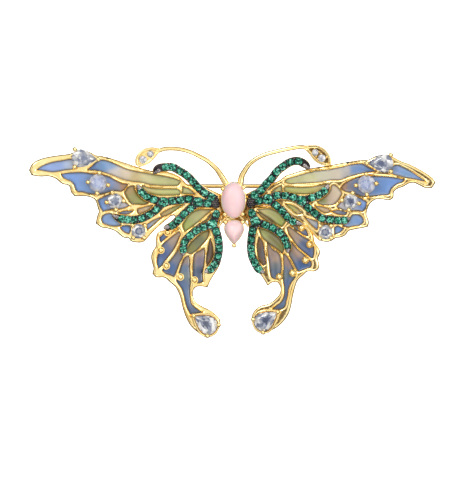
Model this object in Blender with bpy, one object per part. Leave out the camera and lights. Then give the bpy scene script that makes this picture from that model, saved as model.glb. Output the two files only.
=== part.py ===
"""Butterfly brooch: gold wing trays with enamel fields, gem-set branches, a
cabochon body, wire antennae, and a hinged pin stem with a roll-over safety catch.

The brooch is worn upright.  +X is the viewer's right, +Z is up, and the front
faces -Y.  The origin lies on the flat back of the thorax plate, behind the
middle of the oval cabochon.  Lengths are in millimetres until they reach Blender.
"""

from math import cos, pi, radians, sin, sqrt, tan

import bmesh
import bpy
from mathutils import Vector

MM = 0.001

# Driving sizes (mm).
WING_SCALE = 1.0            # scales the drawn outlines; the stones keep their sizes
TILT = 6.0                  # degrees each pair of wings leans forward
WING_BACK = 1.0             # wing backs stand this far in front of the thorax back
WING_OUT = 0.2              # the wings stand this far out along their own plane
PLATE_THICK = 1.2
CELL_FLOOR = 0.45           # gold left behind the enamel
ENAMEL_TOP = 1.0
GAP = 0.06                  # joint line between pieces that are fixed together
RAIL_HALF_WIDTH = 0.62
RAIL_THICK = 0.75
BIG_SEAT = 0.78             # half width of a rail under its large stones
PAD_RIM = 0.34              # gold left around a stone set on the wing's edge
PRONG_R = 0.22
PRONG_STEP = 0.01           # how finely a prong is brought up to its stone
PRONG_RISE = 1.25           # above the front of the wing
SEAT_SHARE = 0.55           # a stone's seat, as a share of its girdle
STONE_GIRDLE = 0.8          # heights above the front of the wing
STONE_TABLE = 1.3
MOONSTONE_D = 3.0
ROUND_D = 2.5
SMALL_D = 2.4
PEAR_LENGTH = 4.2
PEAR_WIDTH = 3.05
LEAF_STONES_D = (1.25, 1.1)
BEAD_R = 0.5
WIRE_R = 0.33
LEAF_THICK = 0.5
OVAL_WIDTH = 4.0
OVAL_HEIGHT = 6.0
DROP_WIDTH = 3.2
DROP_LENGTH = 4.0
DROP_CENTRE = (0.1, -5.35)
THORAX_THICK = 0.9
FLANGE_FRONT = 3.6          # front of the cabochon flanges, above the thorax back
FLANGE_THICK = 0.25
STEP_DOWN = 0.08            # the drop's flange sits this far behind the oval's
CABOCHON_RISE = 2.0
STRUT_ANGLE = radians(60)   # where a strut leaves the oval's edge, below its middle
STRUT_END = (2.5, -4.4)
STRUT_R = 0.2
CUTTER_REACH = 30.0         # the blocks that trim the thorax reach well past it
PRONG_ABOVE_FLANGE = 1.2
PIN_R = 0.35
PIN_STAND = 4.8             # stem centre behind the thorax back
PIN_Z = 2.3
HINGE_X = -14.0
CATCH_X = 14.0
PIN_TIP = 3.0               # the point runs this far past the catch
RIVET_R = 0.3
RUNNING = 0.1               # radial clearance where pieces turn
EYE_WALL = 0.48
EYE_R = RIVET_R + RUNNING + EYE_WALL
EYE_THICK = 2 * PIN_R + 0.2
EAR_R = 0.9
EAR_THICK = 0.45
RIVET_HEAD_R = 0.55
SLEEVE_BORE_R = PIN_R + 0.2
SLEEVE_SLOT = 2 * (PIN_R + RUNNING)
SLEEVE_WALL = 0.5
SLEEVE_R = SLEEVE_BORE_R + SLEEVE_WALL
SLEEVE_LENGTH = 1.7
SLEEVE_FLANGE = 0.35
FLANGE_R = SLEEVE_R + 0.45
CATCH_WALL = 0.45
CATCH_MOUTH = 62.0          # degrees to each side of straight back
LEVER_ANGLE = 48.0
LEVER_REACH = SLEEVE_R + 1.45

CORNER = 50.0               # an outline turns sharply where it turns more than this
FLATNESS = 0.045            # how far a facet may leave the true curve
GREEN = ("second", "triangle", "khaki", "green_one", "green_two")
PANES = ("tip", "long", "moon", "round", "lower", "second", "triangle", "khaki",
         "green_one", "green_two", "upper", "middle", "neck", "inner")

# Outlines are (x, z) points in the plane of each pair of wings.

LEFT = {
    "fore_edge": [
        (-33.95, 4.95), (-33.45, 5.95), (-32.2, 6.7), (-30.5, 7.15), (-28.8, 7.4), (-27.1, 7.65),
        (-26.1, 8.05), (-24.9, 8.2), (-23.75, 7.85), (-22.9, 7.4), (-21.9, 7.25), (-18.8, 6.4),
        (-16.25, 5.55), (-13.25, 4.75), (-10.9, 4.65), (-8.8, 3.75), (-7.6, 2.6), (-5.6, 2.35),
        (-3.75, 1.7), (-2.1, 0.9), (-2, 0.1), (-2.4, -0.45), (-3.25, -0.8), (-4.4, -0.95),
        (-5.9, -1.15), (-6.9, -1.55), (-7.9, -2.35), (-8.9, -3.1), (-9.35, -3), (-9.75, -2.5),
        (-10.25, -2.6), (-11, -3.15), (-12.25, -4.2), (-13.5, -5.4), (-14.3, -6.3), (-14.7, -6.75), (-15.3, -7), (-16.1, -7),
        (-17, -6.75), (-17.35, -6.3), (-18.05, -6.25), (-18.7, -5.85), (-19.45, -5.2),
        (-20.55, -4.75), (-22, -4.45), (-22.8, -3.85), (-22.5, -2.5), (-22.3, -1.95),
        (-22.5, -1.2), (-23, 0.1), (-24.35, 0.65), (-25.4, 0.7), (-26.4, 0.7), (-27, 1.45),
        (-27.1, 2.05), (-27.4, 2.45), (-28.35, 2.7), (-29.65, 3.65), (-30.5, 3.95), (-32.2, 3.95),
        (-33.55, 4.15),
    ],
    "fore_cells": {
        "tip": [
            (-32.75, 5), (-32, 5.55), (-30.8, 6.05), (-29.65, 6.35), (-28.35, 6.55), (-26.9, 6.75),
            (-26.25, 6.55), (-26.25, 5.35), (-27.1, 5.1), (-28.1, 5), (-29.1, 4.8), (-30.05, 4.7),
            (-31, 4.8), (-32, 4.95),
        ],
        "long": [
            (-24.25, 5.05), (-23.6, 5.55), (-22.1, 6.6), (-21.35, 6.55), (-19.65, 5.95),
            (-17.95, 5.2), (-16.25, 4.75), (-13.25, 4.25), (-11.1, 3.85), (-9.65, 3.5),
            (-8.75, 3.15), (-9.15, 2.45), (-10.5, 2.4), (-12.2, 2.45), (-13.9, 2.6), (-15.4, 2.95),
            (-16.6, 3.05), (-17.95, 3.35), (-20.5, 4.3), (-21.75, 4.7), (-23.05, 4.95),
        ],
        "moon": [
            (-28.65, 4.25), (-27.95, 4.4), (-26.65, 4.5), (-25.4, 4.55), (-24.1, 4.4),
            (-23.1, 4.25), (-21.75, 4.1), (-20.8, 3.85), (-19.65, 3.25), (-18.35, 2.7),
            (-17.6, 2.6), (-17.95, 2.05), (-18.55, 1.5), (-19.65, 1.55), (-20.8, 1.35),
            (-21.6, 1.15), (-22.4, 1), (-23.15, 1), (-23.85, 1.1), (-24.95, 1.35),
            (-26.05, 1.55), (-26.25, 1.85), (-26.55, 2.65), (-27.25, 3.25), (-28.2, 3.65),
        ],
        "round": [
            (-22.5, 0), (-21.45, 0.55), (-20.65, 0.85), (-19.6, 0.8), (-18.65, 0.3),
            (-17.95, -0.45), (-17.3, -0.95), (-18.35, -1.35), (-20.25, -1.5), (-20.95, -1.65),
            (-21.7, -1.85), (-22.2, -0.95),
        ],
        "lower": [
            (-21.9, -3.1), (-21.45, -2.45), (-20.35, -2.25), (-19.75, -2.9), (-19, -3.6),
            (-18.7, -4.15), (-19.75, -4.3), (-20.7, -4.15), (-21.75, -3.65),
        ],
        "second": [
            (-15.1, 2.4), (-13.9, 2), (-12.2, 1.85), (-10.1, 1.85), (-9.15, 1.75), (-8.75, 1.35),
            (-8.9, 0.85), (-10.5, 0.8), (-12.15, 0.8), (-13.4, 1), (-14.45, 1.4), (-15.05, 2),
        ],
        "triangle": [
            (-8.35, 2.2), (-8.45, 1.05), (-6.3, 1), (-7.05, 1.7),
        ],
        "khaki": [
            (-18.1, 1.25), (-17.2, 2.25), (-16.5, 2.35), (-16.4, 1.8), (-15.9, 0.9),
            (-15.15, 0.15), (-14.1, -0.45), (-14.6, -0.65), (-15.75, -0.65), (-16.85, -0.6),
            (-17.2, -0.3), (-17.75, 0.45),
        ],
        "corner": [
            (-18.8, -4.6), (-18.25, -4.3), (-17.2, -4.3), (-17.05, -4.9), (-17.35, -5.55),
            (-18.1, -5.25),
        ],
        "sliver": [
            (-14.45, -4.1), (-13.4, -3.45), (-11.7, -2.75), (-12.6, -3.5), (-13.6, -4.4),
            (-14.25, -4.9),
        ],
        "pinkish": [
            (-15.9, -1.5), (-14.7, -1.15), (-13.4, -0.9), (-14.25, -1.8), (-15.55, -2.35),
            (-15.95, -2),
        ],
        "narrow": [
            (-19.15, -2.2), (-18.55, -1.95), (-16.6, -1.8), (-17.2, -2.2), (-17.95, -2.35),
        ],
        "strip": [
            (-12.1, -2.3), (-10.9, -1.6), (-9.4, -1), (-8.35, -0.8), (-9.25, -1.45),
            (-10.75, -2.4), (-11.85, -2.8),
        ],
    },
    "hind_edge": [
        (-2.1, -2.4), (-2.4, -1.7), (-3.4, -1.3), (-4.75, -1.2), (-6.1, -1.45), (-7.25, -2.05),
        (-8.25, -3.05), (-9.25, -4.05), (-10.4, -4.9), (-11.4, -5.05), (-12.5, -5.55),
        (-12.75, -6.35), (-12.8, -7.75), (-13.3, -8.55), (-13.55, -9.4), (-13.35, -10.6),
        (-13.15, -11.4), (-13.35, -12.2), (-12.9, -12.7), (-11.25, -12.9), (-10.45, -13.6),
        (-9.5, -14.45), (-8.9, -15.6), (-8.2, -18.2), (-7.75, -19.45), (-7.05, -20.75),
        (-6, -21.8), (-5.05, -22.4), (-4.1, -22.6), (-3.15, -22.3), (-2.45, -21.55),
        (-2.1, -20.55), (-2.25, -19.8), (-2.85, -19.1), (-3.9, -18.3), (-5.3, -17.6),
        (-6.25, -16.9), (-6.7, -15.95), (-6.6, -14.9), (-6.1, -14.4), (-5.3, -14.3),
        (-4.25, -14.45), (-3.9, -13.6), (-3.3, -12.55), (-2.7, -11.65), (-2.1, -10.4),
        (-1.85, -8.7), (-1.85, -7.05), (-2.15, -5.4), (-2.25, -4.05),
    ],
    "hind_cells": {
        "green_one": [
            (-8, -5.2), (-8.35, -4.35), (-7.9, -3.35), (-7.05, -2.25), (-5.75, -1.65),
            (-4.15, -1.6), (-3.35, -1.55), (-4.35, -2.3), (-5.2, -3.1), (-6.2, -3.95),
            (-7.15, -4.65),
        ],
        "green_two": [
            (-7.8, -8.6), (-7.2, -7.35), (-6.2, -6.35), (-5, -5.4), (-4, -5.05), (-4.15, -6.05),
            (-5.35, -7.6), (-6.2, -8.45), (-7.05, -8.9),
        ],
        "upper": [
            (-11.75, -7.5), (-10.9, -6.7), (-9.9, -5.9), (-9, -5.25), (-8.75, -5.7), (-9.15, -6.7),
            (-9.75, -7.9), (-10.35, -8.8), (-11.25, -9.95), (-12.25, -11.2), (-12.45, -11.3),
            (-12.65, -10.4), (-12.5, -9.15), (-12.1, -8.3),
        ],
        "middle": [
            (-8.65, -7.2), (-9.1, -8.15), (-9.9, -9.4), (-10.85, -10.55), (-11.8, -11.65),
            (-11.25, -12.1), (-10.4, -12.4), (-9.8, -12.7), (-9.4, -11.7), (-8.9, -10.4),
            (-8.4, -9.45), (-8.25, -8.7), (-8.4, -7.9),
        ],
        "neck": [
            (-7.75, -9.4), (-7.4, -9.3), (-7.2, -10.25), (-7.25, -11.4), (-7.15, -12.55),
            (-7.1, -13.75), (-7.2, -14.9), (-7.15, -16.05), (-6.95, -17.25), (-6.25, -17.95),
            (-5.05, -18.65), (-6.1, -18.8), (-6.95, -19.1), (-7.4, -18.4), (-7.85, -17.25),
            (-8.1, -16.05), (-8.45, -14.9), (-9.05, -13.95), (-9.4, -13.4), (-8.9, -11.85),
            (-8.55, -10.75),
        ],
        "inner": [
            (-6.35, -8.95), (-5.5, -8.45), (-4.8, -8), (-4.7, -9.05), (-4.8, -10.25),
            (-4.9, -11.15), (-5.05, -11.85), (-5.1, -12.55), (-5, -13.55), (-5.65, -13.75),
            (-6.25, -13.6), (-6.6, -13.05), (-6.65, -12), (-6.6, -10.25),
        ],
        "sliver": [
            (-3.8, -6.4), (-3.5, -7.2), (-3.3, -8.45), (-3.35, -9.4), (-3.75, -10.25),
            (-4.3, -10.95), (-4.45, -10), (-4.2, -8.4), (-4, -7.15),
        ],
        "small": [
            (-12.15, -6.8), (-12.2, -6.2), (-11.65, -5.7), (-10.4, -5.45), (-9.4, -4.7),
            (-10.1, -5.35), (-11.1, -6.2), (-11.9, -6.95),
        ],
        "fold": [
            (-6.5, -4.55), (-5.75, -4), (-4.7, -3.35), (-3.95, -2.6), (-3.65, -2.3), (-3.8, -2.85),
            (-4.5, -3.55), (-5.45, -4.1), (-6.15, -4.6),
        ],
    },
    "rails": {
        "lead": [
            (-2.85, 0.05), (-3.65, 0.5), (-4.85, 1.2), (-5.95, 2.15), (-6.8, 3.15), (-7.8, 4.1),
            (-8.9, 4.8), (-10.2, 5.45), (-11.35, 5.45), (-12.55, 5.2), (-13.25, 4.5),
        ],
        "upper": [
            (-2.75, -0.55), (-4.35, -0.55), (-5.9, -0.35), (-7.55, 0.15), (-8.85, -0.05),
            (-10.2, -0.15), (-11.7, -0.35), (-13.35, 0.1), (-14.5, 0.55), (-15.35, 1.3),
            (-15.95, 2.35),
        ],
        "lower": [
            (-11.7, -0.35), (-12.9, -1.65), (-14.05, -2.45), (-15.3, -3.05), (-16.75, -3.3),
            (-17.6, -3.25), (-18.65, -3.15), (-20.05, -2.6),
        ],
        "fold": [
            (-5.9, -0.35), (-7.15, -1.4), (-8.25, -2.35), (-9.25, -3.4), (-10.2, -4.25),
            (-11.5, -4.65),
        ],
        "vein": [
            (-2.85, -2.3), (-3.6, -4), (-5, -4.5), (-6.2, -5.1), (-7.25, -5.95), (-8.15, -7),
            (-8.4, -8.3), (-8.4, -9.05),
        ],
        "drop": [
            (-3.6, -4), (-2.85, -5.3), (-2.5, -6.65), (-2.4, -8.05), (-2.6, -9.45), (-3.2, -10.75),
            (-3.85, -11.55), (-4.65, -11.95),
        ],
    },
    "patch": [
        (-3.2, 0.7), (-2.6, 0.4), (-2.3, -0.4), (-2.35, -1.2), (-2.8, -1.5), (-3.3, -1.3),
        (-3.65, -0.4),
    ],
    "beads": [
        (-10.95, -5.4), (-12.05, -8.35), (-11.15, -10.95), (-8.8, -12.8), (-6.45, -13.3),
    ],
    "wire": [
        (-1.35, 2.95), (-2.1, 4.2), (-2.7, 5.05), (-3.5, 5.85), (-4.35, 6.55), (-5.5, 7.2),
        (-7.2, 8), (-9.5, 8.5), (-11.8, 8.4), (-12.9, 8),
    ],
    "leaf": [
        (-12, 8.4), (-13.7, 8.65), (-14.95, 8.35), (-15.8, 7.65), (-16.25, 6.8), (-16.25, 5.95),
        (-15.65, 5.55), (-14.55, 5.95), (-13.5, 6.7), (-12.85, 7.5),
    ],
    "leafstones": [
        (-15.1, 6.7), (-13.85, 7.65),
    ],
}

RIGHT = {
    "fore_edge": [
        (33.55, 2.9), (33.15, 3.55), (32.15, 4.35), (30.85, 5.1), (29.15, 5.95), (27.9, 6.4),
        (26.85, 6.95), (25.9, 7.35), (24.75, 7.5), (23.6, 7.2), (22.45, 6.65), (21.3, 6.6),
        (17.9, 6.05), (15.35, 5.6), (12.8, 5.2), (9.75, 4.35), (8.5, 3.9), (7.75, 3.3),
        (5.9, 2.55), (4.1, 1.95), (2, 0.95), (1.95, 0.1), (2.35, -0.4), (3.1, -0.6), (4.25, -0.8),
        (5.75, -0.87), (6.85, -1.15), (7.9, -1.8), (8.8, -2.6), (9.6, -3.35), (10.5, -3.75),
        (11.4, -3.85), (12.05, -4.15),
        (12.95, -5.25), (13.9, -6.4), (14.6, -6.75), (15.4, -6.9), (16.3, -6.7), (16.9, -6.3),
        (17.8, -6.15), (18.5, -5.8), (19.1, -5.1), (20, -4.85), (21.35, -4.6), (22.25, -4.4),
        (22.4, -3.85), (22.25, -3.05), (22, -2.35), (22.1, -1.8), (22.7, -0.5), (23.65, 0.15),
        (24.9, 0.15), (26, 0.05), (26.45, 0.35), (26.6, 1.35), (27.05, 1.8), (28.3, 2.3),
        (29.15, 2.8), (30, 2.9), (30.85, 2.55), (31.95, 2.05), (33, 2.05),
    ],
    "fore_cells": {
        "tip": [
            (26.2, 5.5), (27.15, 5.8), (28.3, 5.35), (29.6, 4.7), (30.85, 3.85), (32.15, 3),
            (30, 3.55), (28.75, 3.75), (27.45, 4.1), (26.3, 4.4),
        ],
        "long": [
            (23.75, 4.8), (22.4, 5.45), (21.25, 6), (19.75, 5.85), (18, 5.45), (16.25, 5.1),
            (12.75, 4.6), (11.1, 4.1), (9.6, 3.65), (8.65, 3.3), (8.45, 2.95), (9.25, 2.75),
            (10.4, 2.8), (12.75, 2.9), (14.4, 3.05), (16.1, 3.35), (17.75, 3.4), (19.4, 4),
            (21.4, 4.5),
        ],
        "moon": [
            (23.65, 3.9), (25.35, 3.85), (26.6, 3.7), (28.4, 3.4), (28.15, 3.05), (27.45, 2.8),
            (26.85, 2.45), (26.2, 1.85), (25.85, 0.95), (24.9, 0.9), (23.65, 0.75), (21.6, 0.65),
            (20.4, 0.9), (19.25, 1.3), (18.25, 1.6), (17.9, 2.1), (18.35, 2.6), (19.4, 3.2),
            (20.75, 3.7), (22.1, 3.9),
        ],
        "round": [
            (17.2, -1.1), (17.9, -0.3), (18.6, 0.3), (19.6, 0.7), (20.85, 0.35), (22.1, -0.35),
            (21.95, -1.2), (21.5, -1.85), (20.4, -1.7), (19.25, -1.7), (18.25, -1.6),
        ],
        "lower": [
            (19.8, -2.45), (20.75, -2.5), (21.45, -3.05), (21.55, -3.55), (21.2, -4), (20, -4.3),
            (18.9, -4.45), (18.15, -4.25), (18.75, -3.65), (19.4, -2.95),
        ],
        "second": [
            (8.6, 2.2), (10.4, 2.1), (12.75, 2.15), (14.6, 2.45), (15.6, 2.7), (15.1, 2.05),
            (14.1, 1.35), (12.75, 1.05), (10.75, 1.05), (9.1, 1.1), (8.5, 1.45), (8.35, 1.85),
        ],
        "triangle": [
            (7.9, 2.4), (8, 1.2), (6.15, 1.25), (6.9, 1.85),
        ],
        "khaki": [
            (18, 1.1), (17.35, 2.05), (16.65, 2.55), (16.3, 2.35), (16.15, 1.8), (15.65, 0.95),
            (14.85, 0.25), (13.85, -0.3), (14.25, -0.65), (15.4, -0.75), (16.6, -0.7),
            (17.25, -0.2),
        ],
        "corner": [
            (16.75, -4.6), (17.25, -4.3), (18.25, -4.75), (17.8, -5.25), (16.8, -5.65),
        ],
        "sliver": [
            (11.7, -2.8), (12.95, -3.25), (13.9, -3.55), (14.05, -4.15), (13.85, -4.9),
            (12.95, -4.15),
        ],
        "pinkish": [
            (15.9, -1.5), (14.7, -1.15), (13.4, -0.9), (14, -1.45), (15.25, -2.15), (15.95, -2),
        ],
        "narrow": [
            (16.25, -1.9), (17.4, -1.7), (18.8, -2.1), (18.6, -2.45), (17.4, -2.35),
        ],
        "strip": [
            (11.5, -2.15), (10.6, -1.4), (9.4, -0.75), (8.55, -0.65), (9.4, -1.4), (10.6, -2.3),
        ],
    },
    "hind_edge": [
        (2.5, -1.9), (3.25, -1.3), (4.4, -1.05), (5.75, -1.05), (7.1, -1.45), (8.25, -2.3),
        (9.25, -3.3), (10.4, -4.1), (12.15, -4.35), (13.05, -5.7), (13.4, -7.05), (14, -7.9),
        (14.25, -8.8), (13.9, -9.75), (14.15, -10.7), (14, -11.4), (13.55, -11.75),
        (12.15, -11.85), (11.45, -12.45), (10.5, -13.4), (10.05, -14.65), (9.7, -16.05),
        (9.45, -17.5), (9, -18.9), (8.15, -20.15), (7.1, -21.1), (6.2, -21.6), (5.1, -21.9),
        (4.05, -21.55), (3.25, -20.55), (2.95, -19.6), (3.35, -18.55), (4.4, -17.7),
        (5.95, -17.25), (7, -16.4), (7.7, -15.5), (7.75, -14.4), (7.3, -13.65), (6.4, -13.6),
        (5.6, -14.15), (4.75, -12.8), (4.3, -12.2), (3.25, -11.2), (2.5, -9.7), (2.25, -8.05),
        (2.35, -6.4), (2.5, -4.7), (2.35, -3.4),
    ],
    "hind_cells": {
        "green_one": [
            (3.85, -1.55), (4.5, -1.5), (5.7, -1.45), (6.9, -1.8), (7.8, -2.45), (8.6, -3.55),
            (8, -4.4), (7.2, -4), (5.95, -3), (4.75, -2.3),
        ],
        "green_two": [
            (4.15, -4.7), (5.2, -4.95), (6.9, -5.85), (7.9, -6.9), (8.3, -8), (8.05, -8.8),
            (7.2, -8.15), (5.5, -6.9), (4.65, -6.05),
        ],
        "upper": [
            (8.85, -4.65), (9.2, -4.45), (10.05, -5.05), (10.95, -5.75), (11.85, -6.35),
            (12.75, -6.9), (13.25, -7.8), (13.3, -8.7), (13.15, -9.55), (12.9, -9.6),
            (11.85, -8.75), (10.65, -7.7), (9.75, -6.5), (9.15, -5.6),
        ],
        "middle": [
            (9.45, -6.9), (10.35, -7.95), (11.55, -9), (12.45, -9.85), (12.9, -10.45),
            (12.8, -11.15), (11.85, -11.45), (10.75, -11.85), (10.35, -11.25), (9.75, -10.05),
            (9.2, -9.1), (9.35, -8.05),
        ],
        "neck": [
            (8.25, -8.95), (8.65, -9.2), (9.15, -9.95), (9.75, -11.15), (10.25, -12.05),
            (10.2, -12.7), (9.6, -13.6), (9.15, -14.5), (8.95, -15.7), (8.7, -16.7), (8.4, -17.75),
            (7.8, -18.15), (6.4, -18.15), (7.05, -17.6), (7.95, -16.85), (8.4, -15.8),
            (8.4, -14.65), (8.25, -13.45), (8.2, -12.55), (8.3, -11.35), (8.25, -10.15),
        ],
        "inner": [
            (5.55, -7.05), (5.9, -7.5), (6.65, -8.4), (7.2, -8.65), (7.6, -9.2), (7.8, -10.15),
            (7.9, -11.05), (7.8, -11.95), (7.65, -12.95), (6.9, -13.1), (6.25, -12.85),
            (6.05, -11.95), (5.9, -10.45), (5.65, -9),
        ],
        "sliver": [
            (4.15, -6.15), (4.7, -6.9), (5, -8.4), (5.2, -9.85), (5.3, -10.55), (4.85, -10.85),
            (4.3, -10.25), (3.95, -9), (3.85, -7.5),
        ],
        "small": [
            (9.5, -4.1), (10.95, -4.5), (11.7, -4.75), (12.2, -5.4), (12.3, -5.95), (11.85, -5.85),
            (10.95, -5.3), (10.1, -4.7),
        ],
        "fold": [
            (3.65, -1.9), (4.15, -2.05), (5.25, -2.75), (6.4, -3.65), (6.9, -4.2), (6.15, -3.9),
            (5, -3.1), (4.1, -2.35),
        ],
    },
    "rails": {
        "lead": [
            (2.65, 0.2), (3.5, 0.85), (4.6, 1.6), (5.45, 2.65), (6.3, 3.5), (7.2, 4.7),
            (8.25, 5.55), (9.5, 6.3), (10.9, 6.45), (11.9, 5.95), (12.6, 5.25),
        ],
        "upper": [
            (2.75, -0.45), (4.25, -0.15), (5.7, 0.15), (7.25, 0.75), (8.6, 0.7), (9.95, 0.45),
            (11.4, -0.1), (13.1, 0.4), (14.3, 0.85), (15.2, 1.5), (15.8, 2.4),
        ],
        "lower": [
            (11.4, -0.1), (12.5, -1.35), (13.55, -2.2), (14.75, -3.05), (16.15, -3.25),
            (17.5, -3.4), (18.6, -3.35), (19.35, -3.05),
        ],
        "fold": [
            (5.7, 0.15), (7.15, -0.95), (8.1, -1.8), (8.95, -2.8), (9.95, -3.6), (11.3, -3.95),
        ],
        "vein": [
            (3.05, -2.1), (3.65, -3.55), (5.35, -4.15), (6.55, -4.7), (7.75, -5.45), (8.6, -6.65),
            (9, -7.65), (9.1, -8.6),
        ],
        "drop": [
            (3.65, -3.55), (3.15, -5.2), (2.95, -6.65), (2.9, -8), (3.05, -9.25), (3.55, -10.45),
            (4.2, -11.5), (5, -12),
        ],
    },
    "patch": [
        (3.1, 0.8), (2.5, 0.45), (2.2, -0.4), (2.25, -1.15), (2.7, -1.35), (3.2, -1.2),
        (3.6, -0.2),
    ],
    "beads": [
        (11.3, -4.6), (12.65, -7.4), (11.95, -10), (9.8, -12.15), (7.6, -12.75),
    ],
    "wire": [
        (1.15, 2.95), (1.35, 3.95), (1.9, 4.95), (2.5, 5.8), (3.4, 6.6), (5, 7.45), (7.3, 8.1),
        (9.5, 8.55), (11.4, 8.8), (12.6, 8.55),
    ],
    "leaf": [
        (11.5, 8.9), (12.8, 9), (14.05, 8.95), (15.1, 8.4), (15.85, 7.55), (16.2, 6.55),
        (16.1, 5.8), (15.15, 5.8), (14.3, 6.1), (13.45, 6.7), (12.8, 7.55),
    ],
    "leafstones": [
        (14.75, 6.95), (13.65, 7.9),
    ],
}

LEFT_SETTINGS = {
    "fore_pear": ("pear", (-24.95, 6.9), -4, (136, 221, -4)),
    "moonstone": ("cabochon", (-22.65, 2.8), 0, (83, 175, 265, -11)),
    "round": ("round", (-19.8, -0.15), 0, (109, 190, 275, 0)),
    "small": ("small", (-15.85, -5.2), 0, (137, 43, 229, 310)),
    "tail_pear": ("pear", (-4.75, -20.5), 147, (147, -6, 280)),
}
RIGHT_SETTINGS = {
    "fore_pear": ("pear", (24.6, 6.1), 180, (39, -38, 180)),
    "moonstone": ("cabochon", (22.2, 2.6), 0, (90, 186, 274, 4)),
    "round": ("round", (19.6, -0.25), 0, (76, 172, 258, -13)),
    "small": ("small", (15.4, -5.35), 0, (131, 47, 229, 315)),
    "tail_pear": ("pear", (5.5, -19.9), 34, (34, 178, 256)),
}
RIM_SETTINGS = ("fore_pear", "small", "tail_pear")
FORE_RAILS = ("lead", "upper", "lower", "fold")
HIND_RAILS = ("vein", "drop")
BIG_STONES = {"upper": (2, 6), "vein": (1,)}

THORAX_HALF = [
    (0, 2.9), (1.2, 2.5), (1.8, 1.5), (2.3, 0.85), (4.4, 0.95), (4.9, 0), (4.6, -2),
    (3.5, -3.5), (2.3, -3.5), (1.5, -4.1), (1.4, -5.2), (0.8, -6.5), (0.1, -7.1),
]


# ---------------------------------------------------------------- outlines

def turn_at(points, index):
    """How far the outline turns at one of its points, in degrees."""
    before = Vector(points[index]) - Vector(points[index - 1])
    after = Vector(points[(index + 1) % len(points)]) - Vector(points[index])
    return abs(before.angle_signed(after, 0.0)) * 180 / pi


def tangent(points, index, closed, corners):
    """Unit-speed direction of the curve at a point; a corner has none of its own."""
    count = len(points)
    if index in corners or (not closed and index in (0, count - 1)):
        return None
    a, b, c = (Vector(points[(index + k) % count]) for k in (-1, 0, 1))
    first, second = (b - a).length, (c - b).length
    return ((b - a) / first * second + (c - b) / second * first) / (first + second)


def smooth(points, closed=True, steps=6):
    """A smooth curve through the points, which keeps the corners."""
    count = len(points)
    corners = {i for i in range(count) if closed and turn_at(points, i) > CORNER}
    curve = []
    for i in range(count if closed else count - 1):
        start, end = Vector(points[i]), Vector(points[(i + 1) % count])
        reach = (end - start).length
        leave = tangent(points, i, closed, corners)
        arrive = tangent(points, (i + 1) % count, closed, corners)
        leave = leave or (end - start) / reach
        arrive = arrive or (end - start) / reach
        for step in range(steps):
            t = step / steps
            curve.append((2 * t**3 - 3 * t**2 + 1) * start + (t**3 - 2 * t**2 + t) * reach * leave
                         + (3 * t**2 - 2 * t**3) * end + (t**3 - t**2) * reach * arrive)
    if not closed:
        curve.append(Vector(points[-1]))
    return curve


def thin_out(points, tolerance=FLATNESS):
    """Drop the points of an open run that a straight facet replaces."""
    if len(points) < 3:
        return list(points)
    chord = points[-1] - points[0]
    length = chord.length or 1.0
    offsets = [abs(chord.cross(p - points[0])) / length for p in points[1:-1]]
    worst = max(offsets)
    if worst < tolerance:
        return [points[0], points[-1]]
    split = offsets.index(worst) + 1
    return thin_out(points[:split + 1], tolerance)[:-1] + thin_out(points[split:], tolerance)


def outline(points):
    """The closed outline through the points, as few facets as it needs."""
    curve = smooth(points)
    half = len(curve) // 2
    return thin_out(curve[:half + 1])[:-1] + thin_out(curve[half:] + curve[:1])[:-1]


def area(loop):
    return sum(p.cross(q) for p, q in zip(loop, loop[1:] + loop[:1])) / 2


def grow(loop, distance):
    """The loop moved outwards by a distance, or inwards if it is negative."""
    sign = 1 if area(loop) > 0 else -1
    grown = []
    for i, point in enumerate(loop):
        before = (point - loop[i - 1]).normalized()
        after = (loop[(i + 1) % len(loop)] - point).normalized()
        normal = Vector((before.y + after.y, -before.x - after.x)).normalized() * sign
        square = Vector((after.y, -after.x)) * sign
        grown.append(point + normal * distance / max(normal.dot(square), 0.45))
    return grown


def circle(centre, radius, sides=12, squash=1.0):
    angles = [2 * pi * (k + 0.5) / sides for k in range(sides)]
    return [Vector((centre[0] + radius * cos(a), centre[1] + radius * squash * sin(a)))
            for a in angles]


def pear(centre, length, width, heading, sides=16):
    """A drop outline; heading is the direction of its point in degrees."""
    peak = 4 / (3 * sqrt(3))        # the greatest value of sin(t) * sin(t / 2)
    turn = radians(heading)
    loop = []
    for k in range(sides):
        t = 2 * pi * k / sides
        along, across = length / 2 * cos(t), width / 2 / peak * sin(t) * sin(t / 2)
        loop.append(Vector((centre[0] + along * cos(turn) - across * sin(turn),
                            centre[1] + along * sin(turn) + across * cos(turn))))
    return loop


def stone_outline(setting):
    kind, centre, heading, _ = setting
    if kind == "pear":
        return pear(centre, PEAR_LENGTH, PEAR_WIDTH, heading)
    diameter = {"cabochon": MOONSTONE_D, "round": ROUND_D, "small": SMALL_D}[kind]
    return circle(centre, diameter / 2)


def edge_distance(place, loop):
    """Distance from a place to the nearest side of an outline."""
    best = float("inf")
    for start, end in zip(loop, loop[1:] + loop[:1]):
        side = end - start
        share = min(1.0, max(0.0, (place - start).dot(side) / side.dot(side)))
        best = min(best, (place - start - side * share).length)
    return best


def contains(loop, place):
    """Whether an outline goes round a place."""
    inside = False
    for a, b in zip(loop, loop[1:] + loop[:1]):
        if (a.y > place.y) != (b.y > place.y):
            if place.x < a.x + (place.y - a.y) / (b.y - a.y) * (b.x - a.x):
                inside = not inside
    return inside


def prong_places(loop, centre, angles):
    """Prong centres that just clear a stone's girdle, in the given directions."""
    places = []
    for degrees in angles:
        way = Vector((cos(radians(degrees)), sin(radians(degrees))))
        reach = min((p - Vector(centre)).length for p in loop)
        place = Vector(centre) + way * reach
        inside = True
        while inside or edge_distance(place, loop) < PRONG_R + GAP / 2:
            place = place + way * PRONG_STEP
            inside = contains(loop, place)
        places.append(place)
    return places


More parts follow.
